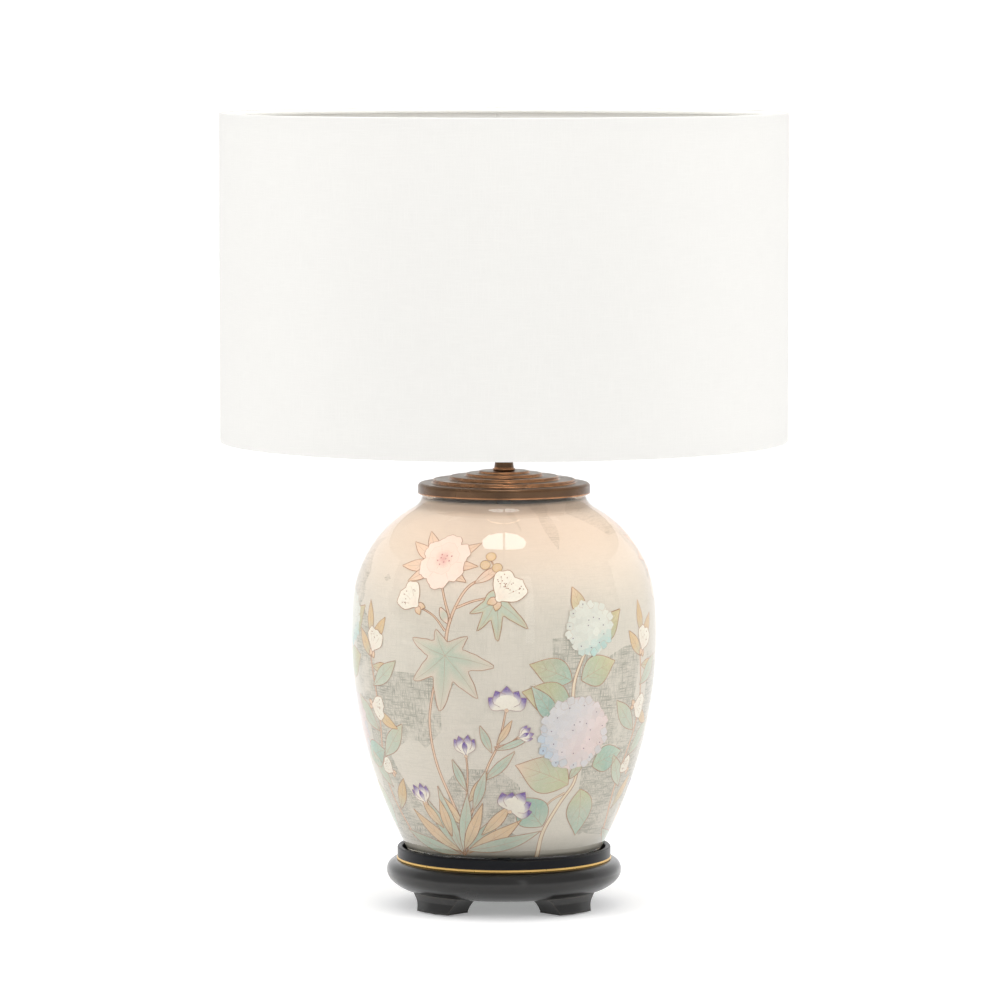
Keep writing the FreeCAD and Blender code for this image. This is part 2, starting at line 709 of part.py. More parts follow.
def flank_and_heel(inset, bottom, heel_round):
    """Where the bottom meets the heel's arc, and where that arc meets the flank's, for a wall set in by inset."""
    centre_r = s.belly_r - s.flank_round
    flank = s.flank_round - inset
    reach = flank - heel_round
    drop = belly_z - (bottom + heel_round)
    run = root(reach * reach - drop * drop)
    share = flank / reach
    meet = Corner(centre_r + run * share, belly_z - drop * share, heel_round)
    return Corner(centre_r + run, bottom), meet


def wall_above_flank(inset, stop):
    """The wall's path up from the belly to the neck, set in by inset. stop is what it leaves of the neck's arc.

    The shoulder's arc starts where the belly's ends and touches the neck's, so its radius follows from both.
    """
    turn_r, turn_z = cosine(s.belly_turn), sine(s.belly_turn)
    belly_centre_r = s.belly_r - s.belly_round
    neck_centre_r = s.neck_r + s.neck_round
    apart_r = belly_centre_r + s.belly_round * turn_r - neck_centre_r
    apart_z = belly_z + s.belly_round * turn_z - neck_foot
    lean = apart_r * turn_r + apart_z * turn_z + s.neck_round
    shoulder = (apart_r * apart_r + apart_z * apart_z - s.neck_round * s.neck_round) / (lean * 2)
    centre_r = belly_centre_r + (s.belly_round - shoulder) * turn_r
    centre_z = belly_z + (s.belly_round - shoulder) * turn_z
    aim_r = (centre_r - neck_centre_r) / (shoulder + s.neck_round)
    aim_z = (centre_z - neck_foot) / (shoulder + s.neck_round)
    belly_arc = s.belly_round - inset
    neck_arc = s.neck_round + inset
    return [
        Corner(s.belly_r - inset, belly_z, s.flank_round - inset),
        Corner(belly_centre_r + belly_arc * turn_r, belly_z + belly_arc * turn_z, belly_arc),
        Corner(neck_centre_r + neck_arc * aim_r, neck_foot + neck_arc * aim_z, shoulder - inset),
        Corner(neck_centre_r - neck_arc * cosine(stop), neck_foot - neck_arc * sine(stop), neck_arc, left=False),
    ]


def make_vase():
    """The glass shell, open at the neck, with a drilled hole in its bottom."""
    heel, meet = flank_and_heel(as_size(0), vase_bottom, s.heel_round)
    inner_heel, inner_meet = flank_and_heel(s.glass_wall, inner_floor, s.inner_heel_round)
    outer = [heel, meet] + wall_above_flank(as_size(0), 0) + [Corner(s.neck_r, neck_top)]
    inner = [inner_heel, inner_meet] + wall_above_flank(s.glass_wall, 0)
    inner.append(Corner(s.neck_r - s.glass_wall, neck_top))
    hole = [Corner(s.vase_hole_r, inner_floor), Corner(s.vase_hole_r, vase_bottom)]
    return turned("glass_vase", outer + backwards(inner) + hole)


def make_lining():
    """The printed paper glued to the inside of the glass."""
    bottom = inner_floor + s.lining_lift
    drop = belly_z - bottom
    sides = []
    for inset in (s.glass_wall, s.glass_wall + s.lining_thick):
        flank = s.flank_round - inset
        start = Corner(s.belly_r - s.flank_round + root(flank * flank - drop * drop), bottom)
        sides.append([start] + wall_above_flank(inset, s.lining_stop))
    return turned("paper_lining", sides[0] + backwards(sides[1]))


def make_vase_seat():
    """The rubber ring that the vase stands on."""
    outer = flank_and_heel(as_size(0), vase_bottom, s.heel_round)[0].across
    return turned("vase_seat", tube_outline(outer - s.seat_width, outer, recess_floor, vase_bottom))


def make_vase_bush():
    """The rubber bush that keeps the rod off the glass."""
    lip_r = s.vase_hole_r + s.vase_bush_rim
    lip_top = inner_floor + s.vase_bush_flange
    return turned("vase_bush", [
        Corner(plain_hole_r, vase_bottom),
        Corner(s.vase_hole_r, vase_bottom),
        Corner(s.vase_hole_r, inner_floor),
        Corner(lip_r, inner_floor),
        Corner(lip_r, lip_top),
        Corner(plain_hole_r, lip_top),
    ])


# ---------------------------------------------------------------- the cap and the neck

def cap_path(shift, edge_round):
    """The cap's stepped section from its skirt to the rod, shift inside and below its outer face."""
    plan = [Corner(cap_steps[0] - shift, cap_ledge - shift)]
    for radius, lower, upper in zip(cap_steps[1:], cap_levels, cap_levels[1:]):
        plan.append(Corner(radius - shift, lower - shift))
        plan.append(Corner(radius - shift, upper - shift))
    plan.append(Corner(plain_hole_r, cap_levels[-1] - shift))
    path = [Corner(cap_steps[0] - shift, cap_ledge - s.cap_skirt)]
    for i, spot in enumerate(plan[:-1]):
        before = plan[i - 1] if i else path[0]
        path += softened(spot, before, plan[i + 1], s.cap_step_round if i else edge_round)
    return path + [plan[-1]]


def make_cap():
    """The stepped cap, spun from sheet."""
    top = cap_path(as_size(0), s.cap_edge_round)
    under = cap_path(s.cap_metal, s.cap_edge_round - s.cap_metal)
    return turned("vase_cap", top + backwards(under))


def make_cap_gasket():
    """The soft ring on the vase's rim, under the cap."""
    inner = s.neck_r - s.gasket_width
    return turned("cap_gasket", tube_outline(inner, s.neck_r, neck_top, cap_underside))


def make_centring_disc():
    """The disc that centres the cap in the neck."""
    radius = s.neck_r - s.glass_wall - s.disc_fit
    return turned("centring_disc", tube_outline(plain_hole_r, radius, disc_bottom, cap_underside))


def make_spool():
    """The short turned spool under the neck tube: a bead, a waist and a lip."""
    bead = s.spool_bead / 2
    bead_top = spool_bottom + s.spool_bead
    lip_bottom = spool_top - s.spool_lip
    waist_z = (bead_top + lip_bottom) / 2
    return turned("neck_spool", [
        Corner(plain_hole_r, spool_bottom),
        Corner(s.spool_r - bead, spool_bottom),
        Corner(s.spool_r, spool_bottom + bead, bead),
        Corner(s.spool_r - bead, bead_top, bead),
        Corner(s.spool_waist_r, waist_z, s.spool_round, left=False),
        Corner(s.spool_lip_r, lip_bottom, s.spool_round, left=False),
        Corner(s.spool_lip_r, spool_top),
        Corner(plain_hole_r, spool_top),
    ])


# ---------------------------------------------------------------- the lampholder and its switch

def make_holder_dome():
    """The domed cup that screws on the rod, with the holes that the push bar slides in."""
    owner = turned("holder_dome", [
        Corner(s.rod_r, holder_bottom),
        Corner(s.holder_entry_r, holder_bottom),
        Corner(s.holder_entry_r, entry_top),
        Corner(s.holder_r, cup_bottom, s.holder_r),
        Corner(s.holder_r, cup_top),
        Corner(cup_inner_r, cup_top),
        Corner(cup_inner_r, cup_bottom),
        Corner(s.holder_entry_r, entry_ceiling, s.holder_r, left=False),
        Corner(s.rod_r, entry_ceiling),
    ])
    hole = circle_sketch(owner, "YZ_Plane", "bar_hole", 0, bar_z, s.bar_r + s.bar_fit)
    pocket(owner, hole, "bar_way", s.holder_r * 3, both_ways=True)
    return owner


def make_holder_sleeve():
    """The sleeve with the shoulder that the shade rests on and the thread for its ring."""
    owner = turned("holder_sleeve", [
        Corner(flange_r, cup_top),
        Corner(s.holder_r, cup_top),
        Corner(s.holder_r, shoulder_bottom),
        Corner(s.shoulder_r, shoulder_bottom),
        Corner(s.shoulder_r, shoulder_top),
        Corner(s.thread_r, shoulder_top),
        Corner(s.thread_r, sleeve_top),
        Corner(sleeve_bore_r, sleeve_top),
        Corner(sleeve_bore_r, flange_top),
        Corner(flange_r, flange_top),
    ])
    first = shoulder_top + s.thread_pitch
    half = s.thread_depth
    profile = sketch_on(owner, "XZ_Plane", "thread_root")
    draw(profile, [
        Corner(s.thread_r - s.thread_depth, first),
        Corner(s.thread_r + s.thread_depth, first - half * 2),
        Corner(s.thread_r + s.thread_depth, first + half * 2),
    ])
    groove = owner.newObject("PartDesign::Groove", "thread_groove")
    groove.Profile = profile
    groove.ReferenceAxis = (profile, ["V_Axis"])
    groove.Angle = 360.0
    grooves = int(s.thread_length.number / s.thread_pitch.number) - 1
    rows = owner.newObject("PartDesign::LinearPattern", "thread_rows")
    rows.Originals = [groove]
    rows.Direction = (profile, ["V_Axis"])
    bind(rows, "Length", s.thread_pitch * (grooves - 1))
    rows.Occurrences = grooves
    owner.Tip = rows
    return owner


def make_insert():
    """The porcelain that holds the brass shell and the contacts, clamped by its flange."""
    return turned("holder_insert", [
        Corner(0, cup_top),
        Corner(flange_r, cup_top),
        Corner(flange_r, flange_top),
        Corner(insert_r, flange_top),
        Corner(insert_r, socket_top),
        Corner(insert_bore_r, socket_top),
        Corner(insert_bore_r, insert_floor),
        Corner(0, insert_floor),
    ])


def make_centre_contact():
    """The bent brass tongue that the bulb's tip presses on."""
    owner = new_body("centre_contact")
    metal = s.contact_metal
    foot_end = s.socket_r
    side = sketch_on(owner, "XZ_Plane", "tongue_side")
    draw(side, [
        Corner(-foot_end, insert_floor),
        Corner(-s.tip_r, insert_floor),
        Corner(s.contact_slope - s.tip_r, contact_top - metal),
        Corner(s.tip_r, contact_top - metal),
        Corner(s.tip_r, contact_top),
        Corner(s.contact_slope - s.tip_r - metal / 2, contact_top),
        Corner(-s.tip_r - metal / 2, insert_floor + metal),
        Corner(-foot_end, insert_floor + metal),
    ])
    pad(owner, side, "tongue", s.contact_width, both_ways=True)
    return owner


def make_terminals():
    """The two brass terminal blocks under the porcelain, and their screws."""
    length, width, height = s.terminal_length, s.terminal_width, s.terminal_height
    blocks, screws = [], []
    for near, name in ((s.terminal_reach, "line"), (-s.terminal_reach - width, "neutral")):
        corner = (-(length / 2), near, cup_top - height)
        blocks.append(box(f"{name}_block", length, width, height, corner))
        screw = doc.addObject("Part::Cylinder", f"{name}_screw")
        bind(screw, "Radius", s.terminal_screw_r)
        bind(screw, "Height", s.terminal_screw_head)
        bind(screw, "Placement.Base.x", length / 2)
        bind(screw, "Placement.Base.y", near + width / 2)
        bind(screw, "Placement.Base.z", cup_top - height / 2)
        screw.Placement.Rotation = FreeCAD.Rotation(Vector(0, 1, 0), 90)
        screws.append(screw)
    return compound("terminal_blocks", blocks), compound("terminal_screws", screws)


def make_switch_bar():
    """The push bar, its ends rounded."""
    rod = doc.addObject("Part::Cylinder", "switch_bar_rod")
    bind(rod, "Radius", s.bar_r)
    bind(rod, "Height", s.holder_r * 2 + s.bar_stub * 2 + s.bar_travel)
    rod.Placement.Rotation = FreeCAD.Rotation(Vector(0, 1, 0), 90)
    bind(rod, "Placement.Base.x", -s.holder_r - s.bar_stub)
    bind(rod, "Placement.Base.z", bar_z)
    bar = doc.addObject("Part::Fillet", "switch_bar")
    bar.Label = "switch_bar"
    bar.Base = rod
    doc.recompute()
    rims = [i for i, edge in enumerate(rod.Shape.Edges, start=1) if isinstance(edge.Curve, Part.Circle)]
    bar.Edges = [(i, s.bar_tip_round.number, s.bar_tip_round.number) for i in rims]
    return bar


def make_switch_bridge():
    """The brass disc on the bar that joins the two spring leaves."""
    bridge = new_body("switch_bridge")
    outer = circle_sketch(bridge, "YZ_Plane", "bridge_outer", 0, bar_z, s.bridge_r, bridge_start)
    pad(bridge, outer, "bridge_disc", s.bridge_length)
    inner = circle_sketch(bridge, "YZ_Plane", "bridge_inner", 0, bar_z, s.bar_r, bridge_start)
    pocket(bridge, inner, "bridge_bore", s.bridge_length, backwards_cut=True)
    return bridge


def make_switch_leaves():
    leaves = []
    reach = s.bridge_r + s.bar_fit
    base_z = bar_z - s.bridge_r
    start = bridge_start + (s.bridge_length - s.leaf_width) / 2
    for near, name in ((reach, "line"), (-reach - s.leaf_thick, "lamp")):
        corner = (start, near, base_z)
        leaves.append(box(f"{name}_leaf", s.leaf_width, s.leaf_thick, cup_top - base_z, corner))
    return compound("switch_leaves", leaves)


# ---------------------------------------------------------------- the bulb

def make_bulb_tip():
    return turned("bulb_tip", [
        Corner(0, bulb_bottom),
        Corner(s.tip_flat_r, bulb_bottom),
        Corner(s.tip_r, tip_top, s.tip_round),
        Corner(0, tip_top),
    ])


def make_bulb_collar():
    """The black insulator between the tip and the screw."""
    return turned("bulb_collar", [
        Corner(0, bulb_collar_bottom),
        Corner(s.tip_r, bulb_collar_bottom),
        Corner(screw_root_r, bulb_collar_top - s.collar_edge),
        Corner(screw_root_r, bulb_collar_top),
        Corner(0, bulb_collar_top),
    ])


def make_bulb_screw():
    """The screw: rounded crests one above another, which stand in for the helix."""
    half = s.screw_pitch / 2
    crest = (s.screw_depth * s.screw_depth + half * half) / (s.screw_depth * 2)
    outline = [Corner(screw_bore_r, bulb_collar_top), Corner(screw_root_r, bulb_collar_top)]
    for turn in range(SCREW_TURNS):
        foot = bulb_collar_top + s.screw_pitch * turn
        outline.append(Corner(s.screw_r, foot + half, crest))
        outline.append(Corner(screw_root_r, foot + s.screw_pitch, crest))
    outline += [Corner(screw_root_r, screw_top), Corner(screw_bore_r, screw_top)]
    return turned("bulb_screw", outline)


def make_bulb_body():
    """The flared body over the screw, with a ledge inside for the board."""
    neck_top_z = screw_top + s.bulb_neck
    rim_bottom = body_top - s.bulb_body_rim
    ledge_r = board_r - s.board_ledge
    return turned("bulb_body", [
        Corner(screw_bore_r, screw_top),
        Corner(s.screw_r, screw_top),
        Corner(s.screw_r, neck_top_z),
        Corner(s.bulb_body_r, rim_bottom, s.bulb_body_round, left=False),
        Corner(s.bulb_body_r, body_top),
        Corner(board_r, body_top),
        Corner(board_r, board_bottom),
        Corner(ledge_r, board_bottom),
        Corner(screw_bore_r, neck_top_z, s.bulb_body_round),
    ])


def make_bulb_globe():
    return turned("bulb_globe", [
        Corner(globe_mouth_r, body_top, globe_bore, left=False),
        Corner(s.bulb_body_r, body_top),
        Corner(s.globe_r, globe_z, s.globe_r),
        Corner(0, globe_z + s.globe_r, s.globe_r),
        Corner(0, globe_z + globe_bore),
        Corner(globe_bore, globe_z, globe_bore, left=False),
    ])


def make_led_board():
    return turned("led_board", [
        Corner(0, board_bottom),
        Corner(board_r, board_bottom),
        Corner(board_r, body_top),
        Corner(0, body_top),
    ])


def make_led_chips():
    chips = []
    half = s.chip_width / 2
    for index in range(CHIPS):
        angle = 360.0 / CHIPS * index
        corner = (s.chip_ring_r * cosine(angle) - half, s.chip_ring_r * sine(angle) - half, body_top)
        chips.append(box(f"chip_{index + 1}", s.chip_width, s.chip_width, s.chip_height, corner))
    return compound("led_chips", chips)


def make_driver_board():
    """The driver's board, soldered on edge under the board with the chips."""
    corner = (-(s.driver_width / 2), -(s.board_thick / 2), board_bottom - s.driver_height)
    return box("driver_board", s.driver_width, s.board_thick, s.driver_height, corner)


# ---------------------------------------------------------------- the shade

def ring_wire(label, height):
    made = doc.addObject("Part::Torus", label)
    made.Label = label
    bind(made, "Radius1", wire_ring_r)
    bind(made, "Radius2", s.wire_r)
    bind(made, "Placement.Base.z", height)
    return made


def arm_path():
    """An arm's centre line: out from the washer, a bend, and straight down to the lower ring."""
    level = (spider_bottom + spider_top) / 2
    run = wire_ring_r - s.arm_flat
    drop = level - lower_wire_z
    slant = root(run * run + drop * drop)
    tangent = s.arm_bend * drop / (slant + run)
    return [
        Corner(arm_start, level),
        Corner(s.arm_flat - tangent, level),
        Corner(s.arm_flat + tangent * run / slant, level - tangent * drop / slant, s.arm_bend, left=False),
        Corner(wire_ring_r, lower_wire_z),
    ]


def make_arm(index, joined_to):
    """One arm of the spider, its ends cut to the washer and the ring that it is welded to."""
    label = f"spider_arm_{index + 1}"
    wire = new_body(label + "_wire")
    route = sketch_on(wire, "XZ_Plane", label + "_route")
    path = arm_path()
    draw(route, path, closed=False)
    section = circle_sketch(wire, "YZ_Plane", label + "_section", 0, path[0].up, s.arm_r, arm_start)
    sweep = wire.newObject("PartDesign::AdditivePipe", label + "_sweep")
    sweep.Profile = section
    sweep.Spine = (route, [])
    angle = 30.0 + 360.0 / ARMS * index
    wire.Placement = FreeCAD.Placement(Vector(), FreeCAD.Rotation(Vector(0, 0, 1), angle))
    shape = wire
    for order, neighbour in enumerate(joined_to, start=1):
        cut = doc.addObject("Part::Cut", label if order == len(joined_to) else f"{label}_cut_{order}")
        cut.Base = shape
        cut.Tool = neighbour
        shape = cut
    shape.Label = label
    return shape


def make_shade():
    """The drum: fabric, lining, turned edges, two ring wires and the spider."""
    edge = s.fabric_thick
    low, high = shade_bottom + edge, shade_top - edge
    fabric = turned("shade_fabric", tube_outline(liner_r, s.shade_r, shade_bottom, shade_top))
    liner = turned("shade_liner", tube_outline(hem_r, liner_r, low, high))
    lower_hem = turned("lower_hem", tube_outline(hem_inner_r, hem_r, low, shade_bottom + s.hem_height))
    upper_hem = turned("upper_hem", tube_outline(hem_inner_r, hem_r, shade_top - s.hem_height, high))
    bore_r = s.thread_r + s.washer_fit
    washer = turned("spider_washer", tube_outline(bore_r, s.spider_r, spider_bottom, spider_top))
    lower_wire = ring_wire("lower_ring_wire", lower_wire_z)
    upper_wire = ring_wire("upper_ring_wire", upper_wire_z)
    arms = [make_arm(index, (washer, lower_wire)) for index in range(ARMS)]
    return [fabric, liner, lower_hem, upper_hem, washer, lower_wire, upper_wire] + arms


def make_shade_ring():
    """The threaded ring that holds the shade down, with a notched grip."""
    bore = s.thread_r + s.play
    owner = turned("shade_ring", [
        Corner(bore, ring_bottom),
        Corner(ring_flange_r, ring_bottom),
        Corner(ring_flange_r, ring_flange_top),
        Corner(ring_grip_r, ring_flange_top),
        Corner(ring_grip_r, ring_top - s.ring_chamfer),
        Corner(ring_grip_r - s.ring_chamfer, ring_top),
        Corner(bore, ring_top),
    ])
    centre = ring_grip_r + s.notch_centre
    notch = circle_sketch(owner, "XY_Plane", "grip_notch", centre, 0, s.notch_r, ring_flange_top + s.notch_rise)
    doc.recompute()
    cut = pocket(owner, notch, "grip_cut", s.ring_height, backwards_cut=True)
    grips = owner.newObject("PartDesign::PolarPattern", "grip_notches")
    grips.Originals = [cut]
    grips.Axis = (notch, ["N_Axis"])
    grips.Angle = 360.0
    grips.Occurrences = GRIP_NOTCHES
    owner.Tip = grips
    return owner


# ---------------------------------------------------------------- the whole lamp

def make_stand_nodes():
    stand = make_stand()
    feet = [make_foot(index, stand) for index in range(FEET)]
    return [stand, make_gilt_band(), make_cord_bush(), make_pads(), make_base_felt()] + feet


def make_rod_nodes():
    return [
        turned("threaded_rod", tube_outline(s.rod_bore_r, s.rod_r, rod_bottom, rod_top)),
        turned("well_washer", tube_outline(plain_hole_r, s.washer_r, washer_bottom, well_ceiling)),
        rod_nut("well_nut", nut_bottom),
        rod_nut("disc_nut", disc_bottom - s.nut_thick),
        rod_nut("entry_nut", entry_ceiling),
    ]


def make_vase_nodes():
    return [make_vase(), make_lining(), make_vase_seat(), make_vase_bush()]


def make_neck_nodes():
    tube = turned("neck_tube", tube_outline(plain_hole_r, s.tube_r, spool_top, holder_bottom))
    return [make_cap(), make_cap_gasket(), make_centring_disc(), make_spool(), tube]


def make_holder_nodes():
    shell = turned("socket_shell", tube_outline(s.socket_r, insert_bore_r, contact_top, socket_top))
    blocks, screws = make_terminals()
    switch = [make_switch_bar(), make_switch_bridge(), make_switch_leaves()]
    return [make_holder_dome(), make_holder_sleeve(), make_insert(), shell, make_centre_contact(), blocks, screws] + switch


def make_bulb_nodes():
    lower = [make_bulb_tip(), make_bulb_collar(), make_bulb_screw(), make_bulb_body()]
    return lower + [make_bulb_globe(), make_led_board(), make_led_chips(), make_driver_board()]


def check_document():
    """Stops if any object failed to compute."""
    for made in doc.Objects:
        if "Invalid" in made.State or "Error" in made.State:
            raise RuntimeError(f"{made.Name} failed: {made.State}")


def write_nodes(nodes):
    """Writes each sub-part to parts/, under its own label."""
    for node in nodes:
        if node.Shape.isNull() or not node.Shape.isValid() or not node.Shape.Solids:
            raise RuntimeError(f"{node.Label} has no valid solid")
    os.makedirs("parts", exist_ok=True)
    for node in nodes:
        node.Shape.exportStep(f"parts/{node.Label}.step")
    print(f"{len(nodes)} nodes written")


parts_of_lamp = make_stand_nodes() + make_rod_nodes() + make_vase_nodes() + make_neck_nodes()
parts_of_lamp += make_holder_nodes() + make_bulb_nodes() + make_shade() + [make_shade_ring()]
doc.recompute()
check_document()
write_nodes(parts_of_lamp)
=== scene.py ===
"""A table lamp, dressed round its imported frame: a drum shade of pale cloth, an antique-bronze
cap and neck, a glass vase lined with cut-paper flowers, and a black lacquered stand with a
gilt line.

Blender works in metres. The paper garden is laid out in degrees round the vase, from the front
towards +X, and in millimetres, so names in that part end in _mm or say what they hold.
"""

import math
import random
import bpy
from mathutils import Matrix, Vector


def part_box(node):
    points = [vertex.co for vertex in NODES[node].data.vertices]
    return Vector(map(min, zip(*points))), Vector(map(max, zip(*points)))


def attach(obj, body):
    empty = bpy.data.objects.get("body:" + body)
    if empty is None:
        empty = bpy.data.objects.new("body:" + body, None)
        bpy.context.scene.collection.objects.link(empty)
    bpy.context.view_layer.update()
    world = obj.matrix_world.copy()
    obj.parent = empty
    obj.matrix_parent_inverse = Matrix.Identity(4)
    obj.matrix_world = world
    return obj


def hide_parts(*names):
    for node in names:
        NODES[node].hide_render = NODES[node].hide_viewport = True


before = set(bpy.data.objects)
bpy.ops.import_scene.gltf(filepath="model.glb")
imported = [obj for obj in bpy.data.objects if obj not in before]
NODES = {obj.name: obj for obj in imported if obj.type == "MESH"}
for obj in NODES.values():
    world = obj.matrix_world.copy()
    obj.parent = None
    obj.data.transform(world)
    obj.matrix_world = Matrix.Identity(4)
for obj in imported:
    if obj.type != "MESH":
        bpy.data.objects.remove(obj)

from types import SimpleNamespace

import bpy
import numpy as np
from mathutils import Vector

bl_info = {
    "name": "Table lamp",
    "version": (1, 0, 0),
    "blender": (4, 5, 0),
    "location": "View3D > Sidebar > Lamp",
    "description": "Dresses a packed table lamp in cloth, bronze, glass, cut paper and lacquer",
    "category": "Object",
}

MM = 0.001
FULL_TURN = 2 * math.pi


def linear(red, green, blue):
    """A colour given as a painter's 0 to 255 values, in the linear values that Blender's sockets hold."""
    return tuple(
        value / 12.92 if value <= 0.04045 else ((value + 0.055) / 1.055) ** 2.4
        for value in (red / 255, green / 255, blue / 255)
    )


def colour_prop(name, description, red, green, blue):
    return bpy.props.FloatVectorProperty(
        name=name, description=description, subtype="COLOR", size=3, min=0.0, max=1.0,
        default=linear(red, green, blue),
    )


def length_prop(name, description, default):
    return bpy.props.FloatProperty(
        name=name, description=description, default=default, min=0.0, subtype="DISTANCE",
        unit="LENGTH", precision=5,
    )


def factor_prop(name, description, default):
    return bpy.props.FloatProperty(
        name=name, description=description, default=default, min=0.0, max=1.0, subtype="FACTOR"
    )


def amount_prop(name, description, default):
    return bpy.props.FloatProperty(name=name, description=description, default=default, min=0.0)


# ---------------------------------------------------------------- settings

class LampStageSettings(bpy.types.PropertyGroup):
    camera_back: length_prop("Camera distance", "From the camera to the lamp's axis", 4.152)
    camera_height: length_prop("Camera height", "Height of the camera over the floor", 0.640)
    aim_height: length_prop("Aim height", "Height on the axis that the camera looks at", 0.2877)
    lens: bpy.props.FloatProperty(
        name="Lens", description="Focal length", default=212.5, min=1.0, unit="CAMERA"
    )
    shift: bpy.props.FloatProperty(name="Shift", description="Sideways shift of the view", default=-0.004)
    floor_colour: colour_prop("Floor", "Colour of the floor and the backdrop", 250, 250, 250)
    floor_glow: amount_prop("Floor light", "Light of the floor itself", 0.30)
    sky_strength: amount_prop("Room light", "Light from the room", 0.67)
    key_power: amount_prop("Soft lights", "Watts of each soft light", 19.0)


class LampShadeSettings(bpy.types.PropertyGroup):
    cloth_colour: colour_prop("Cloth", "Colour of the shade's cloth", 240, 239, 236)
    lining_colour: colour_prop("Lining", "Colour of the stiff lining", 250, 249, 246)
    thread: length_prop("Thread", "Spacing of the cloth's threads", 0.0009)
    seam_lap: length_prop("Seam lap", "Overlap of the cloth at the back seam", 0.012)
    # painted glow: the cloth's own emission stands in for the bulb's light coming through it
    glow: amount_prop("Glow", "Light that comes through the cloth", 0.015)
    wire_colour: colour_prop("Frame", "Coating of the spider and the rings", 240, 240, 236)


class LampPaperSettings(bpy.types.PropertyGroup):
    ground_colour: colour_prop("Ground", "Colour of the printed paper", 226, 218, 205)
    shadow_colour: colour_prop("Wash", "Darker wash in the paper", 210, 205, 192)
    linen_colour: colour_prop("Linen", "Colour of the printed linen patches", 158, 156, 142)
    # painted glow: a warm peach painted into the paper under the neck stands in for the bulb's light falling
    # on the vase's shoulder
    painted_glow_colour: colour_prop("Warm top", "Peach wash under the neck", 236, 207, 182)
    depth: length_prop("Depth", "The paper's face behind the inside of the glass", 0.0012)
    thick: length_prop("Thickness", "Thickness of the printed paper", 0.0003)


class LampGardenSettings(bpy.types.PropertyGroup):
    sage: colour_prop("Sage", "Leaves of the tall mallow", 193, 202, 184)
    moss: colour_prop("Moss", "Leaves of the hydrangea", 198, 198, 158)
    jade: colour_prop("Jade", "Blue-green in the leaves", 166, 196, 180)
    ochre: colour_prop("Ochre", "Turned leaves", 220, 192, 146)
    ink: colour_prop("Ink", "Outlines of the leaves", 168, 116, 88)
    cream: colour_prop("Cream", "Pale petals", 242, 236, 222)
    rose: colour_prop("Rose", "Petals of the mallow", 244, 214, 198)
    violet: colour_prop("Violet", "Tips of the bellflowers", 104, 72, 160)
    seed: bpy.props.IntProperty(
        name="Seed", description="Start of the small differences between leaves", default=7
    )


class LampMetalSettings(bpy.types.PropertyGroup):
    bronze: colour_prop("Bronze", "Colour of the antique bronze", 104, 78, 56)
    # rubbed copper on the edges: real wear that also stands in for painted highlights along the bronze's
    # ridges
    rubbed: colour_prop("Rubbed edge", "Copper that shows where the bronze is rubbed", 220, 156, 108)
    wear_and_highlight: factor_prop("Wear", "How far the edges are rubbed", 1.0)
    steel: colour_prop("Steel", "Zinc-plated steel", 172, 174, 178)
    brass: colour_prop("Brass", "Bare brass of the contacts", 212, 170, 96)


class LampStandSettings(bpy.types.PropertyGroup):
    lacquer: colour_prop("Lacquer", "Black lacquer", 12, 10, 8)
    collar: colour_prop("Collar", "Blue-black of the collar above the gilt line", 6, 8, 14)
    undercoat: colour_prop("Undercoat", "What shows where the lacquer is rubbed", 66, 60, 50)
    gilt: colour_prop("Gilt", "The gilt line", 238, 196, 118)
    felt: colour_prop("Felt", "Felt under the stand", 44, 62, 50)


class LampFittingSettings(bpy.types.PropertyGroup):
    porcelain: colour_prop("Porcelain", "Insert of the lampholder", 236, 232, 222)
    plastic: colour_prop("Black plastic", "Bars of the switch", 22, 22, 23)
    rubber: colour_prop("Rubber", "Rings under the vase and the cap", 26, 26, 27)
    board: colour_prop("Board", "Disc that centres the rod in the neck", 150, 118, 82)


class LampBulbSettings(bpy.types.PropertyGroup):
    light_colour: colour_prop("Light", "Colour of the lamp's light", 255, 236, 212)
    light_strength: amount_prop("Strength", "Brightness of the globe", 2.8)
    shell_colour: colour_prop("Body", "White body of the bulb", 238, 238, 234)


SETTINGS = {
    "lamp_stage": LampStageSettings,
    "lamp_shade": LampShadeSettings,
    "lamp_paper": LampPaperSettings,
    "lamp_garden": LampGardenSettings,
    "lamp_metal": LampMetalSettings,
    "lamp_stand": LampStandSettings,
    "lamp_fitting": LampFittingSettings,
    "lamp_bulb": LampBulbSettings,
}


# ---------------------------------------------------------------- shader nodes

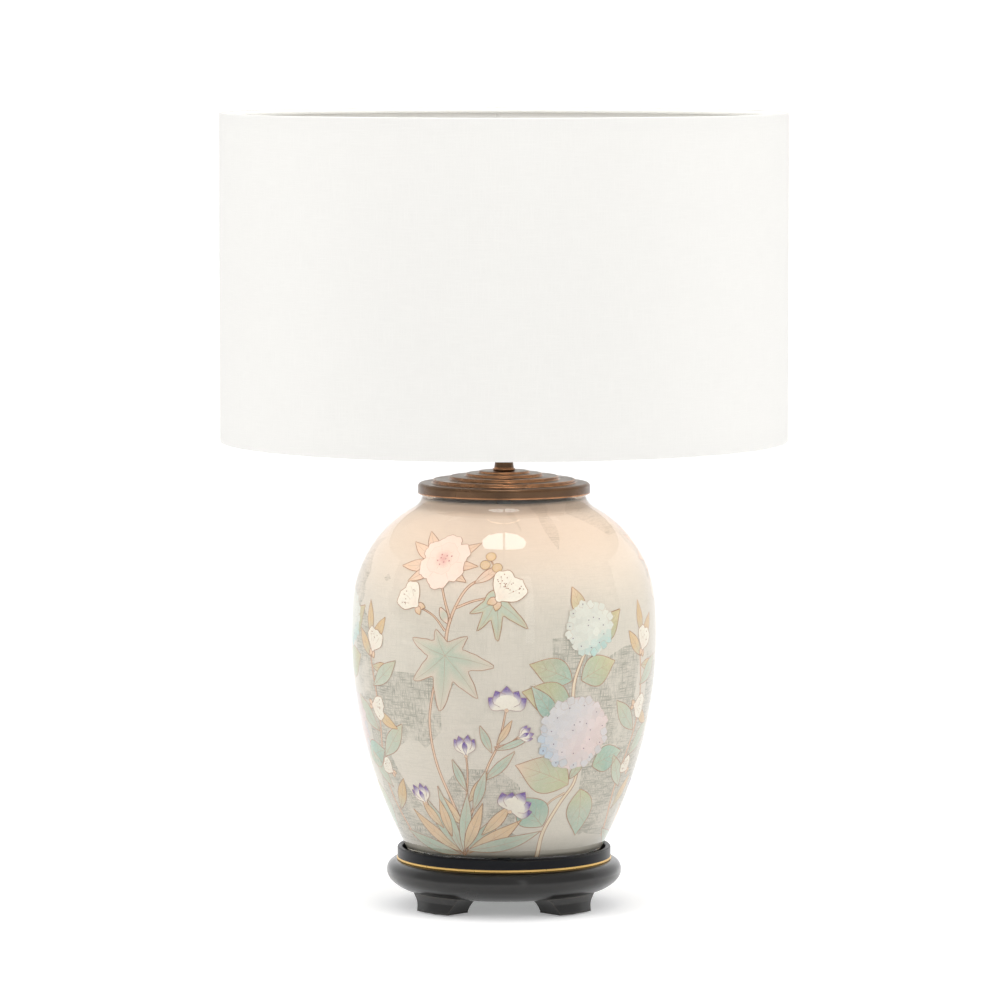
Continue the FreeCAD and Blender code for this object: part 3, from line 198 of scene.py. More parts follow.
class Nodes:
    """Adds nodes to one tree and joins them by the names of their sockets."""

    def __init__(self, tree):
        self.tree = tree

    def add(self, kind, sockets=None, **settings):
        node = self.tree.nodes.new(kind)
        for name, value in settings.items():
            setattr(node, name, value)
        for name, value in (sockets or {}).items():
            self.feed(node.inputs[name], value)
        return node

    def feed(self, socket, value):
        if isinstance(value, bpy.types.NodeSocket):
            self.tree.links.new(value, socket)
        elif socket.type == "RGBA" and len(value) == 3:
            socket.default_value = (*value, 1.0)
        else:
            socket.default_value = value

    def maths(self, operation, first, second=0.0, clamp=False):
        node = self.add("ShaderNodeMath", {0: first, 1: second}, operation=operation, use_clamp=clamp)
        return node.outputs[0]

    def blend(self, factor, first, second, mode="MIX"):
        node = self.add("ShaderNodeMix", data_type="RGBA", blend_type=mode)
        for index, value in ((0, factor), (6, first), (7, second)):
            self.feed(node.inputs[index], value)
        return node.outputs[2]

    def between(self, value, low, high, start=0.0, end=1.0, smooth=False):
        """value brought from low..high to start..end, held at both ends."""
        node = self.add(
            "ShaderNodeMapRange",
            {"Value": value, "From Min": low, "From Max": high, "To Min": start, "To Max": end},
            interpolation_type="SMOOTHSTEP" if smooth else "LINEAR",
        )
        return node.outputs["Result"]

    def noise(self, vector, scale, detail=3.0, roughness=0.55):
        sockets = {"Vector": vector, "Scale": scale, "Detail": detail, "Roughness": roughness}
        return self.add("ShaderNodeTexNoise", sockets).outputs["Fac"]

    def stretched(self, vector, scale):
        return self.add("ShaderNodeVectorMath", {0: vector, 1: scale}, operation="MULTIPLY").outputs[0]

    def place(self):
        """Where a point is on the lamp, in metres."""
        return self.add("ShaderNodeTexCoord").outputs["Object"]

    def bump(self, height, distance, strength=1.0):
        return self.add(
            "ShaderNodeBump", {"Height": height, "Distance": distance, "Strength": strength}
        ).outputs["Normal"]

    def height(self, where):
        return self.add("ShaderNodeSeparateXYZ", {0: where}).outputs["Z"]

    def principled(self, sockets):
        return self.add("ShaderNodeBsdfPrincipled", sockets).outputs[0]

    def either(self, factor, first, second):
        """One shader or the other, by factor."""
        return self.add("ShaderNodeMixShader", {0: factor, 1: first, 2: second}).outputs[0]

    def effect(self, tree, **sockets):
        """A node group placed with this material's own values; returns its outputs."""
        node = self.add("ShaderNodeGroup", node_tree=tree)
        for name, value in sockets.items():
            self.feed(node.inputs[name.replace("_", " ")], value)
        return node.outputs


def new_effect(name, inputs, outputs):
    """An empty node group with named sockets: its tree's Nodes, its inputs by name, and its output node."""
    tree = bpy.data.node_groups.new(name, "ShaderNodeTree")
    for socket, kind, value in inputs:
        made = tree.interface.new_socket(name=socket, in_out="INPUT", socket_type=kind)
        if value is not None:
            made.default_value = value
    for socket, kind in outputs:
        tree.interface.new_socket(name=socket, in_out="OUTPUT", socket_type=kind)
    nodes = Nodes(tree)
    return nodes, nodes.add("NodeGroupInput").outputs, nodes.add("NodeGroupOutput")


FLOAT, VECTOR = "NodeSocketFloat", "NodeSocketVector"


def woven():
    """Over-and-under threads: Height of the cloth, and Thread, the uneven darkness of single threads."""
    if "Woven" in bpy.data.node_groups:
        return bpy.data.node_groups["Woven"]
    n, given, out = new_effect(
        "Woven",
        [("Vector", VECTOR, None), ("Pitch", FLOAT, 0.001), ("Slub", FLOAT, 0.3)],
        [("Height", FLOAT), ("Thread", FLOAT)],
    )
    parts = n.add("ShaderNodeSeparateXYZ", {0: given["Vector"]}).outputs
    across = n.maths("DIVIDE", parts[0], given["Pitch"])
    along = n.maths("DIVIDE", parts[1], given["Pitch"])
    warp = n.maths("ABSOLUTE", n.maths("SINE", n.maths("MULTIPLY", across, math.pi)))
    weft = n.maths("ABSOLUTE", n.maths("SINE", n.maths("MULTIPLY", along, math.pi)))
    column = n.maths("MODULO", n.maths("FLOOR", across), 2.0)
    row = n.maths("MODULO", n.maths("FLOOR", along), 2.0)
    over = n.maths("ABSOLUTE", n.maths("SUBTRACT", column, row))
    under = n.maths("SUBTRACT", 1.0, over)
    crown = n.maths("ADD", n.maths("MULTIPLY", warp, over), n.maths("MULTIPLY", weft, under))
    long_warp = n.noise(n.stretched(given["Vector"], (1400.0, 60.0, 60.0)), 1.0, 2.0)
    long_weft = n.noise(n.stretched(given["Vector"], (60.0, 1400.0, 60.0)), 1.0, 2.0)
    uneven = n.maths("MAXIMUM", long_warp, long_weft)
    slub = n.maths("MULTIPLY", n.between(uneven, 0.45, 0.8), given["Slub"])
    n.feed(out.inputs["Height"], n.maths("ADD", n.maths("MULTIPLY", crown, 0.7), slub))
    n.feed(out.inputs["Thread"], uneven)
    return n.tree


def rubbed():
    """Where hands and cloths have rubbed an edge: Mask is 1 on a worn edge and breaks up along it. On the
    bronze the same mask also places painted highlights along the edges.
    """
    if "Rubbed edges" in bpy.data.node_groups:
        return bpy.data.node_groups["Rubbed edges"]
    n, given, out = new_effect(
        "Rubbed edges",
        [("Vector", VECTOR, None), ("Width", FLOAT, 0.001), ("Amount", FLOAT, 0.5)],
        [("Mask", FLOAT)],
    )
    rounded = n.add("ShaderNodeBevel", {"Radius": given["Width"]}, samples=4).outputs[0]
    face = n.add("ShaderNodeNewGeometry").outputs["Normal"]
    meet = n.add("ShaderNodeVectorMath", {0: rounded, 1: face}, operation="DOT_PRODUCT").outputs["Value"]
    turn = n.between(n.maths("SUBTRACT", 1.0, meet), 0.004, 0.09)
    patches = n.between(n.noise(given["Vector"], 90.0, 4.0), 0.22, 0.50)
    worn = n.maths("MULTIPLY", turn, patches)
    n.feed(out.inputs["Mask"], n.maths("MULTIPLY", worn, given["Amount"], clamp=True))
    return n.tree


def patina():
    """Cloudy unevenness at two sizes: Tone about 0.5 all over, and a fine Grain."""
    if "Patina" in bpy.data.node_groups:
        return bpy.data.node_groups["Patina"]
    n, given, out = new_effect(
        "Patina",
        [("Vector", VECTOR, None), ("Cloud", FLOAT, 25.0), ("Fine", FLOAT, 400.0)],
        [("Tone", FLOAT), ("Grain", FLOAT)],
    )
    cloud = n.noise(given["Vector"], given["Cloud"], 5.0, 0.6)
    fine = n.noise(given["Vector"], given["Fine"], 3.0, 0.6)
    n.feed(out.inputs["Tone"], n.between(cloud, 0.28, 0.72))
    n.feed(out.inputs["Grain"], fine)
    return n.tree


def new_material(name):
    """An empty material: its Nodes, and its output node's Surface socket."""
    material = bpy.data.materials.new(name)
    material.use_nodes = True
    material.node_tree.nodes.clear()
    n = Nodes(material.node_tree)
    return material, n, n.add("ShaderNodeOutputMaterial").inputs["Surface"]


def finish(name, base, darker, roughness, spread=0.08, metallic=0.0, grain=400.0, cloud=25.0,
           depth=0.00004, **plain):
    """A cloudy, finely grained solid finish. plain holds the shader's own values by socket name."""
    material, n, surface = new_material(name)
    tone, fine = n.effect(patina(), Vector=n.place(), Cloud=cloud, Fine=grain)
    sockets = {
        "Base Color": n.blend(tone, darker, base),
        "Roughness": n.between(n.maths("ADD", tone, fine), 0.4, 1.3, roughness - spread, roughness + spread),
        "Metallic": metallic,
        "Normal": n.bump(fine, depth, 0.5),
    }
    sockets.update({key.replace("_", " "): value for key, value in plain.items()})
    n.feed(surface, n.principled(sockets))
    return material


def darker(colour, factor=0.75):
    return tuple(channel * factor for channel in colour[:3])


def dress(material, *names):
    """CAD nodes that stay shown get this material in every slot."""
    for name in names:
        node = NODES[name]
        if not node.data.materials:
            node.data.materials.append(material)
        for slot in node.material_slots:
            slot.material = material


# ---------------------------------------------------------------- meshes

def new_object(name, places, faces, material, smooth=True):
    mesh = bpy.data.meshes.new(name)
    mesh.from_pydata([tuple(place) for place in places], [], faces)
    mesh.polygons.foreach_set("use_smooth", [smooth] * len(mesh.polygons))
    mesh.materials.append(material)
    mesh.update()
    made = bpy.data.objects.new(name, mesh)
    bpy.context.scene.collection.objects.link(made)
    return made


def lay_map(made, flat):
    """A UV map named lay, in metres of cloth, from one (u, v) for each vertex."""
    layer = made.data.uv_layers.new(name="lay")
    loops = np.empty(len(made.data.loops), dtype=np.int32)
    made.data.loops.foreach_get("vertex_index", loops)
    layer.data.foreach_set("uv", np.asarray(flat, dtype=np.float32)[loops].ravel())


def grid_faces(rows, columns, around=False, first=0):
    """Quads of a grid whose columns run to the right and rows run up, seen from outside."""
    faces = []
    for row in range(rows - 1):
        for column in range(columns if around else columns - 1):
            right = (column + 1) % columns
            faces.append((
                first + row * columns + column,
                first + row * columns + right,
                first + (row + 1) * columns + right,
                first + (row + 1) * columns + column,
            ))
    return faces


def rim_of(faces):
    """The directed edges that only one face has."""
    edges = {(face[i - 1], face[i]) for face in faces for i in range(len(face))}
    return [edge for edge in edges if (edge[1], edge[0]) not in edges]


# ---------------------------------------------------------------- the stage

def soft_light(name, place, target, width, height, power, shape="RECTANGLE", mirrored=False):
    """A soft light. Only a mirrored one shows in the glass."""
    data = bpy.data.lights.new(name, "AREA")
    data.shape = shape
    data.size, data.size_y = width, height
    data.energy = power
    light = bpy.data.objects.new(name, data)
    light.visible_glossy = mirrored
    light.visible_camera = False
    light.location = place
    light.rotation_euler = (Vector(target) - Vector(place)).to_track_quat("-Z", "Y").to_euler()
    bpy.context.scene.collection.objects.link(light)


class LAMP_OT_stage(bpy.types.Operator):
    """Adds the floor, the backdrop, the soft lights and the camera"""

    bl_idname = "lamp.stage"
    bl_label = "Stage"

    def execute(self, context):
        given = context.scene.lamp_stage
        material, n, surface = new_material("studio_floor")
        tone, fine = n.effect(patina(), Vector=n.place(), Cloud=2.0, Fine=60.0)
        colour = n.blend(tone, darker(given.floor_colour, 0.985), given.floor_colour)
        n.feed(surface, n.principled({
            "Base Color": colour,
            "Roughness": n.between(fine, 0.3, 0.7, 0.85, 0.95),
            "Specular IOR Level": 0.1,
            "Emission Color": colour,
            "Emission Strength": given.floor_glow,
        }))
        half, back, bend, top = 30.0, 5.0, 1.6, 9.0
        profile = [(-half, 0.0), (0.0, 0.0), (back - bend, 0.0)]
        profile += [
            (back - bend + bend * math.sin(turn), bend - bend * math.cos(turn))
            for turn in np.linspace(0.1, math.pi / 2, 14)
        ]
        profile.append((back, top))
        places = [(x, y, z) for y, z in profile for x in (-half, half)]
        sweep = new_object("studio_sweep", places, grid_faces(len(profile), 2), material)

        world = bpy.data.worlds.new("studio_air")
        world.use_nodes = True
        air = Nodes(world.node_tree)
        seen = air.add("ShaderNodeBackground", {"Color": (1.0, 1.0, 1.0), "Strength": 1.0})
        light = world.node_tree.nodes["Background"]
        light.inputs["Color"].default_value = (1.0, 1.0, 1.0, 1.0)
        light.inputs["Strength"].default_value = given.sky_strength
        camera_ray = air.add("ShaderNodeLightPath").outputs["Is Camera Ray"]
        both = air.either(camera_ray, light.outputs[0], seen.outputs[0])
        air.feed(world.node_tree.nodes["World Output"].inputs["Surface"], both)
        context.scene.world = world
        context.scene.view_settings.view_transform = "Standard"

        middle = (0.0, 0.0, 0.28)
        power = given.key_power
        soft_light("soft_left", (-2.3, -1.0, 1.0), middle, 1.1, 1.8, power)
        soft_light("soft_right", (2.3, -1.0, 1.0), middle, 1.1, 1.8, power)
        soft_light("soft_over", (0.0, -0.6, 2.6), middle, 1.6, 1.2, power * 0.6)
        soft_light("soft_drum", (0.0, -0.25, 1.1), middle, 0.40, 0.40, 2.2, shape="DISK", mirrored=True)
        soft_light("soft_band", (0.9, -2.6, 1.1), middle, 0.36, 2.6, 2.4, mirrored=True)


        camera = bpy.data.objects.new("camera", bpy.data.cameras.new("camera"))
        camera.location = (0.0, -given.camera_back, given.camera_height)
        aim = Vector((0.0, 0.0, given.aim_height)) - camera.location
        camera.rotation_euler = aim.to_track_quat("-Z", "Y").to_euler()
        camera.data.lens = given.lens
        camera.data.sensor_width = 36.0
        camera.data.shift_x = given.shift
        camera.data.clip_end = 60.0
        context.scene.collection.objects.link(camera)
        context.scene.camera = camera
        return {"FINISHED"}


# ---------------------------------------------------------------- the shade

LAMPLIGHT = (1.0, 0.93, 0.82)
CLOTH_THICK = 0.5 * MM
FOLD_DEPTH = 0.35 * MM


def shade_profile():
    """The cloth's middle line as (radius, height), read from the CAD shade: from the lower turned
    edge, round under the shade, up its side and over."""
    (_, _, bottom), (radius, _, top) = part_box("shade_fabric")
    _, (hem_radius, _, hem_top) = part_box("lower_hem")
    out_r, in_r = radius - CLOTH_THICK / 2, hem_radius - CLOTH_THICK / 2
    fold = (out_r - in_r) / 2
    middle = (out_r + in_r) / 2
    turn = [
        (middle - fold * math.cos(a), bottom + CLOTH_THICK / 2 + FOLD_DEPTH - FOLD_DEPTH * math.sin(a))
        for a in np.linspace(0.0, math.pi, 9)
    ]
    inner = [(in_r, z) for z in np.linspace(hem_top, turn[0][1] + 0.5 * MM, 4)]
    outer = [(out_r, z) for z in np.linspace(turn[-1][1] + 0.5 * MM, (bottom + top) / 2, 16)]
    lower = inner + turn + outer
    upper = [(r, bottom + top - z) for r, z in reversed(lower)][1:]
    return lower + upper


class LAMP_OT_shade_cloth(bpy.types.Operator):
    """Adds the shade's cloth, with its turned edges and its seam at the back"""

    bl_idname = "lamp.shade_cloth"
    bl_label = "Shade cloth"

    def execute(self, context):
        given = context.scene.lamp_shade
        line = np.array(shade_profile())
        steps = np.diff(line, axis=0)
        run = np.concatenate([[0.0], np.cumsum(np.hypot(steps[:, 0], steps[:, 1]))])
        away = np.gradient(line, axis=0)
        away = np.stack([away[:, 1], -away[:, 0]], axis=1) / np.hypot(away[:, 0], away[:, 1])[:, None]
        radius = line[:, 0].max()
        lap = given.seam_lap / radius
        columns = 300
        start = math.pi / 2 - lap / 2
        turns = start + np.linspace(0.0, FULL_TURN + lap, columns)
        over = np.clip((turns - (start + FULL_TURN - 0.6 * lap)) / (0.6 * lap), 0.0, 1.0)
        lift = (CLOTH_THICK + 0.05 * MM) * over * over * (3 - 2 * over)
        places, flat = [], []
        for side in (0.5, -0.5):
            for (r, z), (nr, nz), v in zip(line, away, run):
                outer = 1.0 if r > radius - 0.6 * MM else -1.0
                for turn, up in zip(turns, lift):
                    reach = r + nr * side * CLOTH_THICK + outer * up * (1.0 if outer > 0 else 0.35)
                    height = z + nz * side * CLOTH_THICK
                    places.append((reach * math.cos(turn), reach * math.sin(turn), height))
                    flat.append((turn * radius, v))
        rows = len(line)
        front = grid_faces(rows, columns)
        behind = [tuple(reversed([i + rows * columns for i in face])) for face in front]
        walls = [(b, a, a + rows * columns, b + rows * columns) for a, b in rim_of(front)]

        material, n, surface = new_material("shade_weave")
        lay = n.add("ShaderNodeUVMap", uv_map="lay").outputs[0]
        cloth = n.effect(woven(), Vector=lay, Pitch=given.thread, Slub=0.5)
        tone = n.effect(patina(), Vector=n.place(), Cloud=9.0, Fine=300.0)
        thread = n.between(cloth["Thread"], 0.35, 0.8)
        weave = n.blend(thread, darker(given.cloth_colour, 0.955), given.cloth_colour)
        weave = n.blend(n.maths("MULTIPLY", tone["Tone"], 0.15), weave, darker(given.cloth_colour, 0.97))
        solid = n.principled({
            "Base Color": weave,
            "Roughness": n.between(cloth["Height"], 0.0, 1.2, 0.92, 0.78),
            "Specular IOR Level": 0.25,
            "Sheen Weight": 0.15,
            "Sheen Roughness": 0.5,
            "Normal": n.bump(cloth["Height"], 0.00012, 0.6),
            # painted glow: warm emission in the cloth stands in for the bulb's light shining through it
            "Emission Color": n.blend(thread, darker(LAMPLIGHT, 0.85), LAMPLIGHT),
            "Emission Strength": given.glow,
        })
        through = n.add("ShaderNodeBsdfTranslucent", {"Color": weave}).outputs[0]
        n.feed(surface, n.either(0.22, solid, through))

        cloth_piece = new_object("shade_cloth", places, front + behind + walls, material)
        lay_map(cloth_piece, flat)
        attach(cloth_piece, "shade")
        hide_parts("shade_fabric", "lower_hem", "upper_hem")
        return {"FINISHED"}


class LAMP_OT_shade_frame(bpy.types.Operator):
    """Finishes the shade's lining, its ring wires and its spider"""

    bl_idname = "lamp.shade_frame"
    bl_label = "Shade frame"

    def execute(self, context):
        given = context.scene.lamp_shade
        material, n, surface = new_material("shade_styrene")
        tone, fine = n.effect(patina(), Vector=n.place(), Cloud=14.0, Fine=700.0)
        colour = n.blend(tone, darker(given.lining_colour, 0.97), given.lining_colour)
        solid = n.principled({
            "Base Color": colour,
            "Roughness": n.between(fine, 0.3, 0.7, 0.36, 0.5),
            "Normal": n.bump(fine, 0.00003, 0.4),
        })
        through = n.add("ShaderNodeBsdfTranslucent", {"Color": colour}).outputs[0]
        n.feed(surface, n.either(0.35, solid, through))
        dress(material, "shade_liner")
        coating = finish(
            "white_coating", given.wire_colour, darker(given.wire_colour, 0.9), 0.35, grain=900.0,
            Coat_Weight=0.3,
        )
        arms = [f"spider_arm_{number}" for number in (1, 2, 3)]
        dress(coating, "spider_washer", "lower_ring_wire", "upper_ring_wire", *arms)
        return {"FINISHED"}


# ---------------------------------------------------------------- the vase's wall

def vertex_table(mesh):
    """A mesh's vertices and their normals as two arrays."""
    places, facing = (np.empty(len(mesh.vertices) * 3) for _ in range(2))
    mesh.vertices.foreach_get("co", places)
    mesh.vertices.foreach_get("normal", facing)
    return places.reshape(-1, 3), facing.reshape(-1, 3)


def inside_of(places, facing):
    """Which points of the glass are on the wall of its hollow."""
    reach = np.hypot(places[:, 0], places[:, 1])
    inward = (places[:, 0] * facing[:, 0] + places[:, 1] * facing[:, 1]) / np.maximum(reach, 1e-9)
    return (inward < -0.15) & (reach > 45 * MM)


LOWER_MM = 6.6  # the printed paper starts this far below the CAD lining, at the heel of the glass


class Wall:
    """The inside of the glass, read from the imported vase. A place on it is degrees round and
    millimetres of wall upward from where the paper starts."""

    def __init__(self):
        places, facing = vertex_table(NODES["glass_vase"].data)
        seam = (np.abs(places[:, 1]) < 1e-6) & (places[:, 0] > 0) & inside_of(places, facing)
        line = places[seam][:, [0, 2]] / MM
        (_, _, low), (_, _, high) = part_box("paper_lining")
        line = line[(line[:, 1] > low / MM - LOWER_MM) & (line[:, 1] < high / MM)]
        line = line[np.argsort(line[:, 1])]
        line = line[np.concatenate([[True], np.diff(line[:, 1]) > 0.2])]
        steps = np.diff(line, axis=0)
        self.radii, self.heights = line[:, 0], line[:, 1]
        self.run = np.concatenate([[0.0], np.cumsum(np.hypot(steps[:, 0], steps[:, 1]))])
        rise = np.gradient(line, self.run, axis=0)
        kernel = np.ones(5) / 5
        slope = [np.convolve(np.pad(part, 2, mode="edge"), kernel, mode="valid") for part in rise.T]
        length = np.hypot(*slope)
        self.out, self.up = slope[1] / length, -slope[0] / length

    def along(self, height_mm):
        """How far up the wall a height is."""
        return float(np.interp(height_mm, self.heights, self.run))

    def place(self, degrees, along_mm, lift_mm):
        """Points in metres, lift_mm outward from the inside of the glass."""
        along_mm = np.clip(along_mm, 0.0, self.run[-1])
        radius, height, out, up = (
            np.interp(along_mm, self.run, part) for part in (self.radii, self.heights, self.out, self.up)
        )
        reach, height = radius + lift_mm * out, height + lift_mm * up
        turn = np.radians(degrees)
        return np.stack([reach * np.sin(turn), -reach * np.cos(turn), height], axis=-1) * MM


PAINTED_GLOW_RISE = (0.205, 0.285)  # heights between which the painted warm glow of the bulb's light comes in
PAINTED_HEEL_SHADE = (0.042, 0.062)  # heights between which the painted shade at the vase's heel fades out


class LAMP_OT_paper(bpy.types.Operator):
    """Adds the printed paper that lines the vase"""

    bl_idname = "lamp.paper"
    bl_label = "Printed paper"

    def execute(self, context):
        given = context.scene.lamp_paper
        wall = Wall()
        columns, rows = 256, 96
        degrees = np.arange(columns) * 360.0 / columns
        along = np.linspace(0.0, wall.run[-1], rows)
        places = []
        for depth in (given.depth, given.depth + given.thick):
            for run in along:
                places += list(wall.place(degrees, np.full(columns, run), -depth / MM))
        front = grid_faces(rows, columns, around=True)
        behind = [tuple(reversed([i + rows * columns for i in face])) for face in front]
        walls = [(b, a, a + rows * columns, b + rows * columns) for a, b in rim_of(front)]

        material, n, surface = new_material("printed_ground")
        where = n.place()
        height = n.height(where)
        turned = n.add("ShaderNodeVectorRotate", {"Vector": where, "Axis": (0.0, 0.0, 1.0), "Angle": 0.35})
        wash = n.effect(patina(), Vector=where, Cloud=11.0, Fine=160.0)
        streaks = n.between(n.noise(n.stretched(where, (55.0, 55.0, 4.0)), 1.0, 3.0), 0.35, 0.7)
        colour = n.blend(n.maths("MULTIPLY", wash["Tone"], 0.55), given.ground_colour, given.shadow_colour)
        colour = n.blend(n.maths("MULTIPLY", streaks, 0.28), colour, given.shadow_colour)
        patch = n.add(
            "ShaderNodeTexVoronoi", {"Vector": turned.outputs[0], "Scale": 17.0, "Randomness": 0.8},
            distance="CHEBYCHEV",
        ).outputs["Color"]
        chosen = n.between(n.add("ShaderNodeSeparateColor", {0: patch}).outputs[0], 0.34, 0.50)
        upright = n.noise(n.stretched(where, (1300.0, 1300.0, 90.0)), 1.0, 2.0, 0.6)
        level = n.noise(n.stretched(where, (90.0, 90.0, 1300.0)), 1.0, 2.0, 0.6)
        threads = n.between(n.maths("MAXIMUM", upright, level), 0.46, 0.68)
        feather = n.between(n.noise(where, 34.0, 4.0, 0.65), 0.30, 0.50)
        patches = n.maths("MULTIPLY", chosen, feather)
        linen = n.maths("MULTIPLY", patches, n.between(threads, 0.0, 1.0, 0.18, 1.0))
        faint = n.maths("MULTIPLY", threads, 0.16)
        colour = n.blend(n.maths("MAXIMUM", linen, faint), colour, given.linen_colour)
        # painted glow: warm peach blended in towards the neck, standing in for the bulb's light on the
        # shoulder
        colour = n.blend(n.between(height, *PAINTED_GLOW_RISE, 0.0, 0.62, smooth=True), colour, given.painted_glow_colour)
        # painted shade: the paper darkens towards the heel, just above the stand's collar
        heel_shade = n.between(height, *PAINTED_HEEL_SHADE, 0.55, 0.0)
        colour = n.blend(heel_shade, colour, darker(given.linen_colour, 0.8))
        n.feed(surface, n.principled({
            "Base Color": colour,
            "Roughness": n.between(wash["Grain"], 0.3, 0.7, 0.6, 0.8),
            "Specular IOR Level": 0.3,
            "Normal": n.bump(wash["Grain"], 0.00003, 0.5),
        }))
        ground = new_object("paper_ground", places, front + behind + walls, material)
        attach(ground, "lamp")
        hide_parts("paper_lining")
        return {"FINISHED"}


# ---------------------------------------------------------------- cutting paper

PAPER_MM = 0.03
LEVEL_MM = 0.03
CELL_MM = 2.8
STEM_LEVEL, LEAF_LEVEL, FLOWER_LEVEL, TOP_LEVEL = 1, 4, 18, 32
GARDEN_COLOURS = ("sage", "moss", "jade", "ochre", "ink", "cream", "rose", "violet")


class Spot:
    """A place on the wall where something is drawn, turned by some degrees. Drawings are flat, in
    millimetres: u to the right and v up."""

    def __init__(self, wall, degrees, along_mm, turn=0.0):
        self.wall, self.degrees, self.along_mm = wall, degrees, along_mm
        self.turn = math.radians(turn)

    def on_wall(self, flat, lift_mm):
        flat = np.asarray(flat, dtype=float)
        cos, sin = math.cos(self.turn), math.sin(self.turn)
        u = flat[:, 0] * cos - flat[:, 1] * sin
        along = self.along_mm + flat[:, 0] * sin + flat[:, 1] * cos
        reach = np.interp(along, self.wall.run, self.wall.radii)
        return self.wall.place(self.degrees + np.degrees(u / reach), along, lift_mm)

    def flat_of(self, degrees, along_mm):
        """Where a place on the wall is in this spot's unturned drawing."""
        reach = np.interp(along_mm, self.wall.run, self.wall.radii)
        return (math.radians(degrees - self.degrees) * reach, along_mm - self.along_mm)


class Cuttings:
    """Thin closed slabs of paper gathered into one mesh, with a tint at each vertex."""

    def __init__(self, depth_mm):
        self.depth_mm = depth_mm
        self.places, self.faces, self.tints = [], [], []
        self.count = 0

    def slab(self, spot, flat, faces, tints, level):
        lift = -self.depth_mm + LEVEL_MM * level
        size = len(flat)
        first = self.count
        self.places += [spot.on_wall(flat, lift), spot.on_wall(flat, lift - PAPER_MM)]
        self.tints += [tints, tints]
        self.faces += [tuple(first + i for i in face) for face in faces]
        self.faces += [tuple(first + size + i for i in reversed(face)) for face in faces]
        self.faces += [(first + b, first + a, first + size + a, first + size + b) for a, b in rim_of(faces)]
        self.count += 2 * size

    def line(self, spot, path, width, level, tint, closed=False, taper=True):
        """An inked line along a flat path."""
        path = np.asarray(path, dtype=float)
        if closed:
            path = np.vstack([path, path[:1]])
        steps = np.hypot(*np.diff(path, axis=0).T)
        run = np.concatenate([[0.0], np.cumsum(steps)])
        count = max(3, int(run[-1] / 2.0) + 2)
        at = np.linspace(0.0, run[-1], count)
        points = np.stack([np.interp(at, run, path[:, k]) for k in (0, 1)], axis=1)
        if closed:
            points = points[:-1]
            ahead = np.roll(points, -1, axis=0) - np.roll(points, 1, axis=0)
        else:
            ahead = np.gradient(points, axis=0)
        ahead /= np.maximum(np.hypot(ahead[:, 0], ahead[:, 1]), 1e-6)[:, None]
        side = np.stack([ahead[:, 1], -ahead[:, 0]], axis=1)
        share = np.linspace(0.0, 1.0, len(points))
        half = np.full(len(points), width / 2)
        if taper and not closed:
            half *= 0.35 + 0.65 * np.sqrt(np.clip(1 - share, 0, 1))
        half = half[:, None]
        flat = np.stack([points - side * half, points + side * half], axis=1).reshape(-1, 2)
        faces = grid_faces(len(points), 2)
        if closed:
            last = 2 * (len(points) - 1)
            faces.append((last, last + 1, 1, 0))
        self.slab(spot, flat, faces, np.tile(tint, (len(flat), 1)), level)

    def build(self, name, material):
        made = new_object(name, np.vstack(self.places), self.faces, material)
        made.data.set_sharp_from_angle(angle=math.radians(40))
        tints = np.vstack(self.tints)
        layer = made.data.color_attributes.new("tint", "FLOAT_COLOR", "POINT")
        opaque = np.column_stack([tints, np.ones(len(tints))])
        layer.data.foreach_set("color", opaque.astype(np.float32).ravel())
        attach(made, "lamp")
        return made


def smooth_path(points, steps=10):
    """A curve through every point, rounded between them."""
    points = [np.asarray(point, dtype=float) for point in points]
    ends = [2 * points[0] - points[1], *points, 2 * points[-1] - points[-2]]
    path = []
    for a, b, c, d in zip(ends, ends[1:], ends[2:], ends[3:]):
        for t in np.arange(steps) / steps:
            square, cube = 2 * a - 5 * b + 4 * c - d, 3 * b - a - 3 * c + d
            path.append(0.5 * (2 * b + (c - a) * t + square * t**2 + cube * t**3))
    return np.array([*path, points[-1]])


